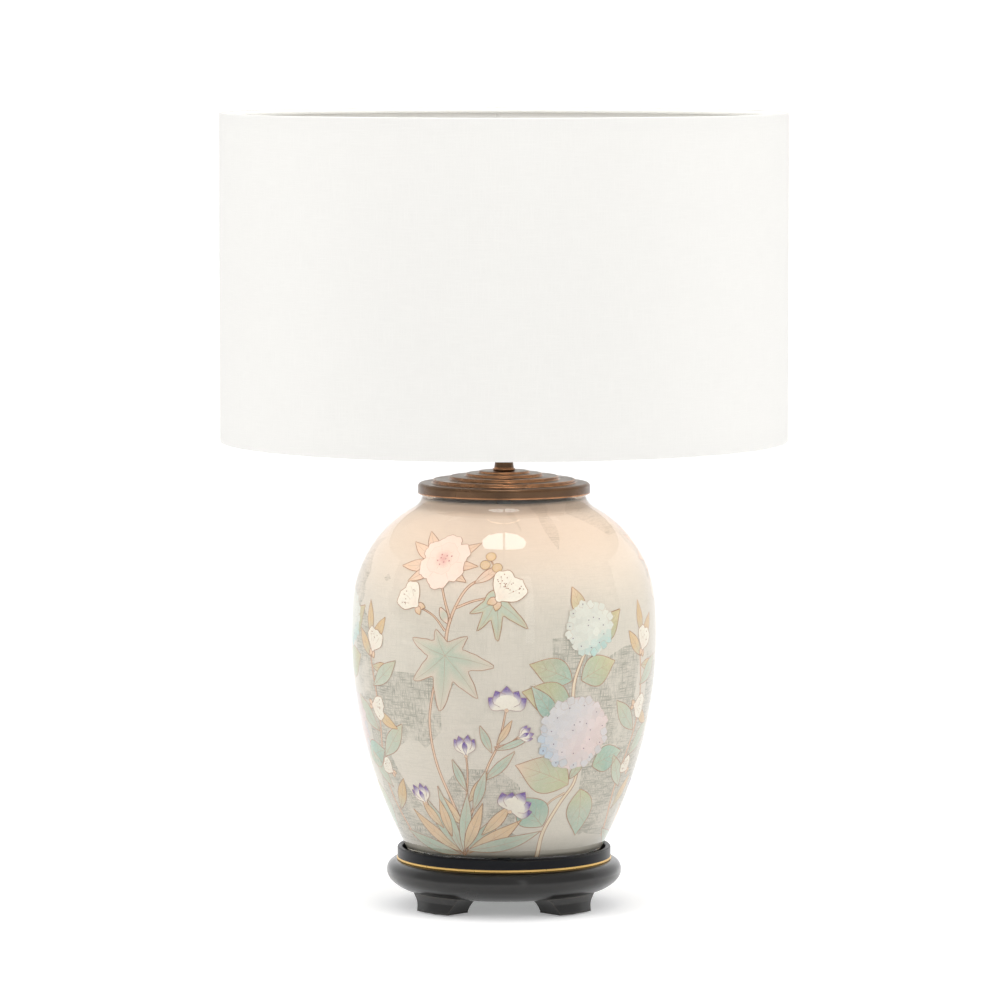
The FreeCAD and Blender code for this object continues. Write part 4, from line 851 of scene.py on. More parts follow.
class Bed:
    """One kind of plant in one repeat of the garden: its paints and inks, and where it is."""

    def __init__(self, wall, given, depth_mm, shift, seed):
        self.wall, self.shift = wall, shift
        self.given = SimpleNamespace(**{name: np.array(getattr(given, name)) for name in GARDEN_COLOURS})
        self.paint, self.ink = Cuttings(depth_mm), Cuttings(depth_mm)
        self.random = random.Random(seed)
        self.level = LEAF_LEVEL

    def spot(self, degrees, height, turn=0.0):
        return Spot(self.wall, self.shift + degrees, self.wall.along(height), turn)

    def next_level(self):
        """Leaves that lie next to each other never share a level."""
        self.level = LEAF_LEVEL + (self.level - LEAF_LEVEL + 2) % 14
        return self.level

    def vary(self, colour, by=0.06):
        return np.clip(np.array(colour) * (1 + self.random.uniform(-by, by)), 0, 1)

    def varied_ink(self, ink=None):
        return self.vary(self.given.ink if ink is None else ink, 0.12)

    def stem(self, points, width, tint):
        """A stem through (degrees, height) points, from its root up."""
        root = self.spot(*points[0])
        path = smooth_path([
            root.flat_of(self.shift + degrees, self.wall.along(height)) for degrees, height in points
        ])
        tint = self.vary(tint)
        count = len(path)
        ahead = np.gradient(path, axis=0)
        ahead /= np.hypot(ahead[:, 0], ahead[:, 1])[:, None]
        side = np.stack([ahead[:, 1], -ahead[:, 0]], axis=1)
        half = (width / 2 * np.linspace(1.0, 0.62, count))[:, None]
        strip = np.stack([path - side * half, path + side * half], axis=1).reshape(-1, 2)
        self.paint.slab(root, strip, grid_faces(count, 2), np.tile(tint, (2 * count, 1)), STEM_LEVEL)
        for way in (-1, 1):
            edge = path + way * side * half
            self.ink.line(root, edge, 0.5, STEM_LEVEL + 1, self.varied_ink(), taper=False)

    def blade(self, spot, length, width, colours, bend=0.0, belly=0.5, point=1.0, veins=0,
              level=None, ink=None, ink_width=0.5, turn_in=0.0):
        """A leaf or a petal that grows up from its spot. colours run from its root to its tip.
        belly is where it is widest, and point above 1 sharpens its tip."""
        level = self.next_level() if level is None else level
        rows = max(6, int(length / CELL_MM) + 2)
        columns = max(3, int(width / CELL_MM) + 2)
        share = np.linspace(0.0, 1.0, rows)
        heading = math.pi / 2 + np.radians(bend) * share
        steps = length / (rows - 1) * np.stack([np.cos(heading), np.sin(heading)], axis=1)
        rib = np.vstack([[0.0, 0.0], np.cumsum(steps, axis=0)[:-1]])
        side = np.stack([np.sin(heading), -np.cos(heading)], axis=1)
        power = math.log(0.5) / math.log(belly)
        half = width / 2 * np.sin(math.pi * share**power) ** (0.75 + 0.25 * point)
        half = np.maximum(half, 0.12)
        across = np.linspace(-1.0, 1.0, columns)
        spread = (half[:, None] * across[None, :])[:, :, None]
        flat = (rib[:, None, :] + side[:, None, :] * spread).reshape(-1, 2)
        stops = np.linspace(0.0, 1.0, len(colours))
        table = np.array([self.vary(colour, 0.04) for colour in colours])
        tint = np.stack([np.interp(share, stops, table[:, k]) for k in range(3)], axis=1)
        fade = 1 - turn_in * np.clip(across, 0, 1)[None, :, None] * np.sin(math.pi * share)[:, None, None]
        tints = (tint[:, None, :] * fade * np.ones((1, columns, 1))).reshape(-1, 3)
        self.paint.slab(spot, flat, grid_faces(rows, columns), tints, level)
        ink = self.varied_ink(ink)
        edge = half[:, None]
        outline = np.vstack([rib - side * edge, (rib + side * edge)[::-1]])
        self.ink.line(spot, outline, ink_width, level + 1, ink, taper=False)
        if veins:
            pale = ink * 0.55 + table.mean(axis=0) * 0.45
            self.ink.line(spot, rib[: int(rows * 0.92)], ink_width * 0.8, level + 1, pale)
            for number in range(veins):
                at = int(rows * (0.18 + 0.6 * number / veins))
                for way in (-1, 1):
                    reach = half[at] * 0.78
                    start = rib[at]
                    forward = steps[at] / np.hypot(*steps[at])
                    middle = start + side[at] * way * reach * 0.5 + forward * reach * 0.55
                    end = start + side[at] * way * reach * 0.86 + forward * reach * 1.25
                    vein = smooth_path([start, middle, end], 4)
                    self.ink.line(spot, vein, ink_width * 0.5, level + 1, pale)

    def disc(self, spot, centre, outline, colours, level, ink=None, ink_width=0.45):
        """A round piece about a point of the spot's drawing. outline gives the radius at each
        angle, and colours run from its middle to its rim."""
        centre = np.array(centre, dtype=float)
        biggest = float(max(outline(angle) for angle in np.linspace(0, FULL_TURN, 48)))
        spokes = max(10, int(FULL_TURN * biggest / 2.2))
        if biggest > 4:
            spokes = max(spokes, 64)
        rings = max(2, int(biggest / CELL_MM) + 1)
        angles = np.arange(spokes) * FULL_TURN / spokes
        reach = np.array([outline(angle) for angle in angles])
        flat, tints = [centre], []
        stops = np.linspace(0.0, 1.0, len(colours))
        table = np.clip(np.array(colours) * self.random.uniform(0.98, 1.02), 0, 1)
        shares = [0.0] + [(ring + 1) / rings for ring in range(rings)]
        rim = np.stack([np.cos(angles), np.sin(angles)], axis=1) * reach[:, None] + centre
        for share in shares[1:]:
            flat += list(centre + (rim - centre) * share)
        for index, share in enumerate(shares):
            tint = [np.interp(share, stops, table[:, k]) for k in range(3)]
            tints += [tint] * (1 if index == 0 else spokes)
        faces = [(0, 1 + i, 1 + (i + 1) % spokes) for i in range(spokes)]
        for ring in range(rings - 1):
            low = 1 + ring * spokes
            for i in range(spokes):
                ahead = (i + 1) % spokes
                faces.append((low + i, low + spokes + i, low + spokes + ahead, low + ahead))
        self.paint.slab(spot, np.array(flat), faces, np.array(tints), level)
        if ink is not None:
            self.ink.line(spot, rim, ink_width, level + 1, self.vary(ink, 0.1), closed=True)

    # ------------------------------------------------------------ kinds of plant

    def palmate(self, degrees, height, lobes, colours, spread=21.0):
        """A leaf with pointed fingers: lobes are (degrees, length)."""
        spot = self.spot(degrees, height)
        level = self.next_level()

        def outline(angle):
            reach = 8.0
            for lobe, length in lobes:
                off = (math.degrees(angle) - lobe + 180) % 360 - 180
                reach = max(reach, 7.0 + (length - 7.0) * math.exp(-(abs(off) / spread) ** 1.05))
            return reach * (1 + 0.02 * math.sin(31 * angle))

        self.disc(spot, (0, 0), outline, colours, level, ink=self.given.ink, ink_width=0.5)
        pale = self.given.ink * 0.5 + colours[0] * 0.5
        for lobe, length in lobes:
            lean = math.radians(lobe)
            tip = np.array([math.cos(lean), math.sin(lean)]) * length * 0.93
            mid = tip * 0.5 + np.array([-tip[1], tip[0]]) * 0.03
            self.ink.line(spot, smooth_path([(0, 0), mid, tip], 6), 0.4, level + 1, pale)

    def mallow(self, degrees, height, radius, heart, rose, turn=0.0):
        """A full flower: a ragged rim, a crown of shorter petals and a blushing heart."""
        spot, level = self.spot(degrees, height, turn), FLOWER_LEVEL
        heart, rose = np.array(heart), np.array(rose)
        blush = heart * 0.4 + rose * 0.6
        rows = (
            # share of the radius, petals, tints from its middle to its rim, how far it is moved
            (1.0, 6, [blush, rose, rose, rose], (0.0, 0.0)),
            (0.62, 5, [blush, rose * 0.97 + blush * 0.03, rose], (-0.04, 0.10)),
            (0.33, 5, [heart * 0.7 + rose * 0.3, blush, rose * 0.97], (0.0, 0.06)),
        )
        for row, (share, petals, tones, shift) in enumerate(rows):
            start = self.random.uniform(0, FULL_TURN)

            def outline(angle, share=share, petals=petals, start=start):
                lobe = abs(math.cos(petals * (angle - start) / 2)) ** 0.5
                ruffle = 0.030 * math.sin(15 * angle + start) + 0.022 * math.sin(26 * angle + 2 * start)
                swell = 0.07 * math.sin(2 * angle + start)
                return radius * share * (0.74 + 0.22 * lobe + ruffle + swell)

            drop = (shift[0] * radius, shift[1] * radius)
            edge = self.given.ink * 0.8 + rose * 0.2 if row == 0 else self.given.ink * 0.15 + rose * 0.85
            width = 0.45 if row == 0 else 0.3
            self.disc(spot, drop, outline, tones, level + 3 * row, ink=edge, ink_width=width)
            for petal in range(petals if row < 2 else 0):
                angle = start + (petal + 0.5) * FULL_TURN / petals
                ray = np.array([math.cos(angle), math.sin(angle)]) * radius * share
                fold = [ray * 0.48 + drop, ray * 0.60 + drop, ray * 0.74 + drop]
                crease = self.given.ink * 0.3 + rose * 0.7
                self.ink.line(spot, fold, 0.28, level + 3 * row + 1, crease)
        for dot in range(9):
            angle, reach = dot * 2.4, radius * 0.13 * math.sqrt(dot + 0.5) * 0.8
            at = (reach * math.cos(angle), radius * 0.05 + reach * 0.7 * math.sin(angle))
            self.dot(spot, at, radius * 0.03, heart * 0.85, level + 9)

    def dot(self, spot, centre, radius, colour, level):
        self.disc(spot, centre, lambda angle: radius, [colour, colour], level)

    def blossom(self, degrees, height, radius, turn, dots=7):
        """A small cream flower seen from the side: a ruffled fan of petals on a rosy calyx."""
        spot, level = self.spot(degrees, height, turn), FLOWER_LEVEL
        cream, rose, ink = self.given.cream, self.given.rose, self.given.ink
        for number, lean in enumerate((-26, 26)):
            calyx = self.spot(degrees, height, turn + 180 + lean)
            self.blade(calyx, radius * 0.55, radius * 0.36, [rose, self.given.ochre],
                       level=level - 2 - 2 * number)
        start = self.random.uniform(0, FULL_TURN)

        def fan(angle):
            off = abs((math.degrees(angle) - 90 + 180) % 360 - 180)
            spread = 1 / (1 + math.exp((off - 62) / 7))
            ruffle = 0.05 * math.sin(13 * angle + start) + 0.05 * math.sin(7 * angle)
            ruffle += 0.02 * math.sin(29 * angle)
            return radius * (0.16 + 1.05 * spread * (1 + ruffle))

        root = self.vary(rose * 0.4 + cream * 0.6)
        self.disc(spot, (0, 0), fan, [root, cream, cream], level, ink=ink)
        for lean in (-34, -8, 24):
            side = math.radians(90 - lean)
            ray = np.array([math.cos(side), math.sin(side)]) * radius
            fold = smooth_path([ray * 0.45, ray * 0.7 + (0.4, 0.0), ray * 0.98], 4)
            self.ink.line(spot, fold, 0.28, level + 1, ink * 0.6 + cream * 0.4)
        for _ in range(dots):
            at = (self.random.uniform(-0.55, 0.55) * radius, self.random.uniform(0.5, 0.98) * radius)
            self.dot(spot, at, 0.40, ink, level + 2)

    def bell(self, degrees, height, size, turn, open_cup=False):
        """A bellflower: a cream cup whose pointed petals are dipped in violet, on a small calyx."""
        spot, level = self.spot(degrees, height, turn), FLOWER_LEVEL
        cream, violet = self.given.cream, self.given.violet
        soft = cream * 0.4 + violet * 0.6
        dip = [cream, cream, cream, cream, cream * 0.95 + violet * 0.05, soft, violet, violet]
        edge = violet * 0.35 + self.given.ink * 0.65
        leans = (-66, 66, -34, 36, 2) if open_cup else (-36, 34, -14, 16)
        wide = 0.60 if open_cup else 0.44
        for petal, lean in enumerate(leans):
            leaf = self.spot(degrees, height, turn + lean)
            reach = size * (0.90 if abs(lean) > 30 else 1.0) * self.random.uniform(0.94, 1.04)
            self.blade(leaf, reach, size * wide, dip, bend=-lean * 0.3, belly=0.56, point=2.0,
                       level=level + petal, ink=edge, ink_width=0.32)
        half = 64 if open_cup else 36

        def cup(angle):
            off = abs((math.degrees(angle) - 90 + 180) % 360 - 180)
            return size * (0.10 + (0.50 if open_cup else 0.52) / (1 + math.exp((off - half) / 6)))

        self.disc(spot, (0, 0), cup, [cream, cream, cream], level + 6)
        if not open_cup:
            self.blade(spot, size * 0.66, size * 0.26, [cream, cream, soft, violet, violet],
                       belly=0.66, point=1.8, level=level + 8, ink=violet, ink_width=0.25)
        self.disc(spot, (0, -size * 0.03), lambda angle: size * 0.085,
                  [self.given.ochre, self.given.rose], level + 10, ink=self.given.ink, ink_width=0.3)

    def berries(self, degrees, height):
        """Three round buds of about 4 mm."""
        spot, size, ochre = self.spot(degrees, height), 4.0, self.given.ochre
        for at in ((0, 0), (size * 2.1, -size * 0.5), (size * 0.9, size * 1.6)):
            self.disc(spot, at, lambda angle: size * (0.9 + 0.04 * math.sin(5 * angle)),
                      [ochre * 0.6 + self.given.rose * 0.4, ochre], LEAF_LEVEL + 9,
                      ink=self.given.ink, ink_width=0.4)

    def hydrangea(self, degrees, height, radius, paint, count):
        """A head of many four-petalled florets. paint gives the tint of a place in the head, from
        -1 to 1 each way."""
        spot, ink, squash = self.spot(degrees, height), self.given.ink, 0.95

        def outline(angle):
            return radius * (0.90 + 0.035 * abs(math.sin(9 * angle)) + 0.02 * math.sin(3 * angle))

        middle = paint(0.0, 0.0)
        self.disc(spot, (0, 0), outline, [middle, paint(0.3, -0.3)], FLOWER_LEVEL - 2)
        golden = math.pi * (3 - math.sqrt(5))
        floret = radius * 1.05 / math.sqrt(count) * 1.28
        for number in range(count):
            reach = math.sqrt((number + 0.5) / count)
            angle = number * golden
            u, v = reach * math.cos(angle), reach * math.sin(angle)
            at = (u * radius * 0.94, v * radius * 0.94 * squash)
            start = self.random.uniform(0, FULL_TURN)
            tint = np.array(paint(u, v)) * self.random.uniform(0.94, 1.02)

            def petals(angle, start=start):
                return floret * (0.60 + 0.40 * abs(math.cos(2 * (angle - start))) ** 0.7)

            line = ink * 0.4 + tint * 0.6 if reach > 0.88 else None
            self.disc(spot, at, petals, [tint * 0.99, tint * 0.985, tint],
                      FLOWER_LEVEL + 2 * (number % 6), ink=line, ink_width=0.28)
            if number % 5 == 1:
                self.dot(spot, at, 0.42, self.given.violet * 0.35 + ink * 0.3, TOP_LEVEL)


def mallow_plant(bed):
    """The tall plant on the front's left: palmate leaves, a full rosy flower and cream ones."""
    sage, jade, ochre, rose = bed.given.sage, bed.given.jade, bed.given.ochre, bed.given.rose
    twig = rose * 0.6 + ochre * 0.4
    bed.stem([(-19, 56), (-25, 84), (-30, 112), (-31, 140), (-28, 166), (-24, 190)], 1.9, twig)
    bed.stem([(-23, 189), (-22, 206), (-19, 222), (-14, 236), (-6, 243)], 2.2, twig)
    bed.stem([(-21, 213), (-24, 228), (-27, 243)], 1.7, twig)
    bed.stem([(-23, 205), (-28, 215), (-35, 221)], 1.3, twig)
    bed.stem([(-19, 221), (-12, 226), (-4, 229)], 1.5, twig)
    bed.palmate(-23, 188, [(158, 29), (112, 20), (40, 22), (-12, 37), (-52, 38), (-97, 42), (-143, 33)],
                [jade * 0.35 + sage * 0.65, sage, sage * 0.75 + rose * 0.25, sage * 0.5 + rose * 0.5])
    bed.palmate(-3, 226, [(205, 21), (238, 26), (272, 30), (320, 31)],
                [sage * 0.8 + ochre * 0.2, sage, sage, ochre * 0.4 + sage * 0.6], spread=13.0)
    autumn = [sage * 0.5 + rose * 0.5, rose * 0.75 + ochre * 0.25, rose * 0.5 + ochre * 0.5]
    behind = (
        (68, 31, 9), (40, 30, 9), (104, 33, 9), (128, 29, 8), (-62, 30, 9), (-100, 28, 8), (-128, 26, 8),
    )
    for lean, reach, wide in behind:
        bed.blade(bed.spot(-28, 251, lean), reach, wide, autumn, bend=-12 if lean > 0 else 12,
                  veins=2, point=1.4)
    bed.mallow(-27, 252, 20.5, linear(222, 150, 146), linear(249, 226, 212), turn=10)
    bed.blossom(-36, 222, 14.0, turn=52, dots=9)
    bed.blossom(-2, 228, 16.5, turn=-40, dots=26)
    bed.berries(-8, 250)
    bed.stem([(-6, 243), (-4, 248), (-6, 254)], 1.0, twig)
    bed.blade(bed.spot(-12, 238, -60), 22, 7, autumn, bend=20, veins=2)
    bed.blade(bed.spot(-22, 210, 28), 13, 6, [rose, sage, rose])


def bell_clump(bed):
    """Bellflowers over a fan of narrow leaves, low in the front's middle."""
    sage, jade, ochre, rose = bed.given.sage, bed.given.jade, bed.given.ochre, bed.given.rose
    twig = rose * 0.5 + ochre * 0.5
    root = (-24, 44)
    bed.stem([root, (-22, 62), (-18, 84), (-16, 104), (-16, 120)], 1.4, twig)
    bed.stem([(-20, 66), (-12, 88), (-7, 110), (-2, 128), (1, 152)], 1.6, twig)
    bed.stem([root, (-30, 58), (-36, 72), (-40, 84)], 1.3, twig)
    bed.stem([(-22, 50), (-14, 60), (-5, 70), (3, 79)], 1.3, twig)
    bed.stem([(-4, 124), (2, 127), (6, 132)], 1.0, twig)
    cool = [sage * 0.8 + rose * 0.2, jade * 0.35 + sage * 0.65, sage * 0.8 + rose * 0.2]
    warm = [ochre * 0.5 + sage * 0.5, ochre * 0.7 + rose * 0.3, ochre * 0.85 + rose * 0.15]
    fan = (
        (78, 50, 10, cool), (52, 48, 9, warm), (30, 46, 9, cool), (12, 56, 9, cool), (-14, 50, 9, cool),
        (-30, 44, 8, warm), (-46, 47, 10, cool), (-64, 52, 10, warm), (-82, 58, 10, cool),
    )
    for number, (lean, reach, wide, colours) in enumerate(fan):
        spot = bed.spot(root[0] + (number - 4) * 0.5, 45 + 1.6 * (number % 3), lean)
        bed.blade(spot, reach, wide, colours, bend=-lean * 0.22, belly=0.45, point=1.5, veins=2)
    higher = (
        (-21, 66, 34, 30, 8, warm), (-17, 84, -38, 28, 7, warm), (-17, 92, 22, 26, 6, cool),
        (-15, 78, -22, 34, 7, cool), (-9, 100, -50, 32, 7, cool), (-5, 120, 24, 22, 6, cool),
        (-3, 126, -34, 21, 5, warm), (-4, 122, -74, 30, 5, cool), (-33, 64, 34, 26, 7, warm),
        (-12, 60, -46, 34, 8, warm), (-29, 58, 8, 30, 7, warm),
    )
    for degrees, height, lean, reach, wide, colours in higher:
        bed.blade(bed.spot(degrees, height, lean), reach, wide, colours, bend=-lean * 0.2,
                  belly=0.48, point=1.5, veins=1)
    for degrees, height, size, turn, open_cup in (
        (1, 151, 17.5, -2, True), (-16, 118, 15.5, 4, False), (-40, 82, 15, 18, False),
        (3, 78, 17.5, -36, True), (6, 131, 11.5, -62, False),
    ):
        bed.bell(degrees, height, size, turn, open_cup)


def hydrangea_bush(bed):
    """Two heads of hydrangea with broad leaves, on the front's right."""
    given = bed.given
    sage, jade, moss, ochre, rose = given.sage, given.jade, given.moss, given.ochre, given.rose
    wood = ochre * 0.5 + given.cream * 0.5
    bed.stem([(20, 43), (21, 62), (27, 82), (33, 98), (33, 118)], 2.9, wood)
    bed.stem([(29, 90), (22, 84), (18, 74), (17, 70)], 1.3, wood)
    bed.stem([(28, 150), (28, 168), (31, 184), (35, 196)], 2.6, wood)
    broad = (
        # degrees, height, lean, length, width, root to tip
        (27, 170, 62, 34, 20, [jade, sage * 0.6 + moss * 0.4, moss * 0.7 + ochre * 0.3]),
        (27, 152, 66, 38, 24, [jade * 0.8 + sage * 0.2, moss, moss * 0.6 + ochre * 0.4]),
        (31, 170, -62, 32, 22, [sage, moss * 0.8 + jade * 0.2, moss * 0.6 + ochre * 0.4]),
        (38, 194, -38, 33, 17, [jade * 0.5 + sage * 0.5, moss, ochre * 0.7 + moss * 0.3]),
        (31, 214, 8, 22, 11, [moss, ochre * 0.6 + rose * 0.4]),
        (21, 140, 28, 34, 13, [jade * 0.7, jade, sage]),
        (30, 96, 62, 44, 28, [moss, sage * 0.5 + moss * 0.5, ochre * 0.4 + rose * 0.6]),
        (20, 66, 36, 32, 24, [sage, jade, jade * 0.8 + sage * 0.2]),
        (41, 108, -66, 30, 20, [moss * 0.5 + jade * 0.5, jade, sage]),
        (37, 92, -164, 38, 22, [moss, sage, jade * 0.6 + sage * 0.4]),
        (30, 100, -30, 20, 7, [sage, moss]),
    )
    for degrees, height, lean, reach, wide, colours in broad:
        bed.blade(bed.spot(degrees, height, lean), reach, wide, colours, bend=14 if lean > 0 else -14,
                  belly=0.42, point=1.5, veins=3, turn_in=0.10, ink_width=0.55)

    white, mint, lilac, pink, blue = np.array([
        linear(230, 231, 221), linear(172, 212, 208), linear(221, 218, 219), linear(234, 212, 207),
        linear(178, 200, 218),
    ])

    def cool_head(u, v):
        shade = max(0.0, min(1.0, (0.6 * u - 1.2 * v - 0.45)))
        return white * (1 - shade) + mint * shade

    def warm_head(u, v):
        bluish = max(0.0, min(1.0, -1.6 * u - 0.9 * v - 0.95)) * 0.8
        rosy = max(0.0, min(1.0, 0.9 * u - 0.7 * v + 0.45)) * (0.75 if v > -0.6 else 0.5)
        base = lilac * (1 - rosy) + pink * rosy
        rim = 1.0 if (u * u + v * v > 0.80 and v < 0.0) else 0.0
        base = base * (1 - 0.45 * rim) + (white * 0.4 + blue * 0.6) * 0.45 * rim
        return base * (1 - bluish) + blue * bluish

    bed.hydrangea(35, 206, 20.0, cool_head, count=64)
    bed.hydrangea(30, 133, 28.0, warm_head, count=104)


def side_spray(bed, degrees, height):
    """Cream blossoms among turned leaves, between the tall plants."""
    sage, ochre, rose = bed.given.sage, bed.given.ochre, bed.given.rose
    twig = rose * 0.5 + ochre * 0.5
    warm, cool = [sage, ochre, ochre], [sage * 0.9 + rose * 0.1, sage, ochre * 0.3 + sage * 0.7]
    bends = ((3, -132), (-4, -92), (2, -44), (-1, 0))
    bed.stem([(degrees + across, height + up) for across, up in bends], 1.7, twig)
    for up, lean, reach, wide, colours in (
        (4, -40, 27, 9, warm), (-4, 44, 26, 9, warm), (10, 8, 26, 8, warm), (-10, -96, 24, 8, warm),
        (-24, -58, 34, 12, cool), (-40, -128, 26, 8, warm), (-56, 52, 36, 13, cool),
        (-74, -50, 38, 13, cool), (-96, 40, 32, 11, cool), (-112, -34, 30, 9, warm),
    ):
        bed.blade(bed.spot(degrees, height + up, lean), reach, wide, colours, bend=-lean * 0.15,
                  veins=2, point=1.3)
    bed.blossom(degrees + 1, height + 2, 12.5, turn=-20)
    bed.blossom(degrees - 2, height - 38, 11.5, turn=-100)
    bed.blossom(degrees + 3, height - 84, 9.0, turn=50)


class LAMP_OT_garden(bpy.types.Operator):
    """Adds the cut-paper garden: three repeats of its plants round the vase, and sprays between them"""

    bl_idname = "lamp.garden"
    bl_label = "Paper garden"

    def execute(self, context):
        given = context.scene.lamp_garden
        depth_mm = context.scene.lamp_paper.depth / MM
        wall = Wall()
        paint = self.paint_material()
        ink = self.ink_material()
        plants = (
            ("mallow", mallow_plant),
            ("bellflowers", bell_clump),
            ("hydrangea", hydrangea_bush),
            ("spray", lambda bed: side_spray(bed, -61, 186)),
        )
        for repeat, shift in enumerate((0, 126, -118)):
            for kind, (name, draw) in enumerate(plants):
                bed = Bed(wall, given, depth_mm, shift, given.seed + 10 * repeat + kind)
                draw(bed)
                bed.paint.build(f"{name}_{repeat + 1}", paint)
                bed.ink.build(f"{name}_ink_{repeat + 1}", ink)
        return {"FINISHED"}

    @staticmethod
    def paint_material():
        material, n, surface = new_material("garden_paint")
        tint = n.add("ShaderNodeVertexColor", layer_name="tint").outputs["Color"]
        wash = n.effect(patina(), Vector=n.place(), Cloud=70.0, Fine=500.0)
        pooled = n.blend(n.maths("MULTIPLY", wash["Tone"], 0.3), tint, (0.93, 0.9, 0.82), "MULTIPLY")
        pale = n.blend(n.between(wash["Grain"], 0.45, 0.7, 0.0, 0.3), pooled, linear(222, 214, 201))
        n.feed(surface, n.principled({
            "Base Color": pale,
            "Roughness": n.between(wash["Grain"], 0.3, 0.7, 0.6, 0.8),
            "Specular IOR Level": 0.3,
            "Normal": n.bump(wash["Grain"], 0.00002, 0.4),
        }))
        return material

    @staticmethod
    def ink_material():
        material, n, surface = new_material("garden_ink")
        tint = n.add("ShaderNodeVertexColor", layer_name="tint").outputs["Color"]
        worn = n.effect(patina(), Vector=n.place(), Cloud=160.0, Fine=700.0)
        faded = n.blend(n.maths("MULTIPLY", worn["Tone"], 0.45), tint, linear(222, 200, 172))
        n.feed(surface, n.principled({
            "Base Color": faded,
            "Roughness": n.between(worn["Grain"], 0.3, 0.7, 0.5, 0.7),
            "Specular IOR Level": 0.35,
            "Normal": n.bump(worn["Grain"], 0.00002, 0.3),
        }))
        return material


# ---------------------------------------------------------------- glass, metal and wood

class LAMP_OT_glass(bpy.types.Operator):
    """Finishes the vase's clear glass"""

    bl_idname = "lamp.glass"
    bl_label = "Glass vase"

    def execute(self, context):
        material, n, surface = new_material("vase_glass")
        tone, fine = n.effect(patina(), Vector=n.place(), Cloud=16.0, Fine=90.0)
        glass = n.principled({
            "Base Color": n.blend(tone, (0.985, 0.99, 0.985), (1.0, 1.0, 1.0)),
            "Roughness": n.between(fine, 0.4, 0.7, 0.0, 0.02),
            "IOR": 1.5,
            "Transmission Weight": 1.0,
            "Normal": n.bump(tone, 0.00012, 0.25),
        })
        clear = n.add("ShaderNodeBsdfTransparent").outputs[0]
        shadow = n.add("ShaderNodeLightPath").outputs["Is Shadow Ray"]
        n.feed(surface, n.either(shadow, glass, clear))
        self.glued_glass(material, context.scene.lamp_paper)
        return {"FINISHED"}

    @staticmethod
    def glued_glass(material, paper):
        """The paper is glued on, so no air lies in front of it: the glass takes in the glue, and
        its inner wall moves just behind the paper, from a little below it to a little above."""
        mesh = NODES["glass_vase"].data.copy()
        mesh.name = "vase_glass"
        places, facing = vertex_table(mesh)
        (_, _, low), (_, _, high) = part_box("paper_lining")
        height, below, above, behind = places[:, 2], 7 * MM, 4 * MM, 0.25 * MM
        share = np.clip((height - low + below) / MM, 0, 1) * np.clip((high + above - height) / above, 0, 1)
        share = share * share * (3 - 2 * share) * inside_of(places, facing)
        moved = places + facing * (share * (paper.depth + paper.thick + behind))[:, None]
        mesh.vertices.foreach_set("co", moved.ravel())
        mesh.update()
        mesh.materials.clear()
        mesh.materials.append(material)
        made = bpy.data.objects.new("vase_glass", mesh)
        bpy.context.scene.collection.objects.link(made)
        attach(made, "lamp")
        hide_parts("glass_vase")


class LAMP_OT_bronze(bpy.types.Operator):
    """Finishes the cap, the neck and the lampholder in antique bronze with rubbed copper edges that also
    serve as painted highlights
    """

    bl_idname = "lamp.bronze"
    bl_label = "Antique bronze"

    def execute(self, context):
        given = context.scene.lamp_metal
        material, n, surface = new_material("antique_bronze")
        where = n.place()
        tone, fine = n.effect(patina(), Vector=where, Cloud=45.0, Fine=500.0)
        # rubbed edges: partly real wear, partly painted highlight; the copper there stands in for highlights
        # along the cap's ridges
        worn = n.effect(rubbed(), Vector=where, Width=0.0018, Amount=given.wear_and_highlight)["Mask"]
        flat = n.stretched(where, (1.0, 1.0, 0.0))
        reach = n.add("ShaderNodeVectorMath", {0: flat}, operation="LENGTH").outputs["Value"]
        rings = n.add("ShaderNodeCombineXYZ", {"X": reach, "Z": n.height(where)}).outputs[0]
        turned = n.noise(rings, 1600.0, 2.0)
        dull = n.blend(tone, darker(given.bronze, 0.62), given.bronze)
        clouded = n.between(tone, 0.0, 1.0, 0.36, 0.24)
        n.feed(surface, n.principled({
            # painted highlight and wear: rubbed copper on the edges
            "Base Color": n.blend(worn, dull, given.rubbed),
            "Metallic": 0.85,
            "Roughness": n.maths("SUBTRACT", clouded, n.maths("MULTIPLY", worn, 0.12)),
            "Normal": n.bump(n.maths("ADD", fine, turned), 0.00003, 0.18),
            "Coat Weight": 0.15,
            "Coat Roughness": 0.25,
        }))
        dress(material, "vase_cap", "neck_spool", "neck_tube", "holder_dome", "holder_sleeve", "shade_ring")
        return {"FINISHED"}


# the gilt line's top edge is about 35 mm up: the lacquer's coat ends there, and the collar's tint
# starts
COAT_TOP_Z, COLLAR_Z = 0.0350, 0.0345


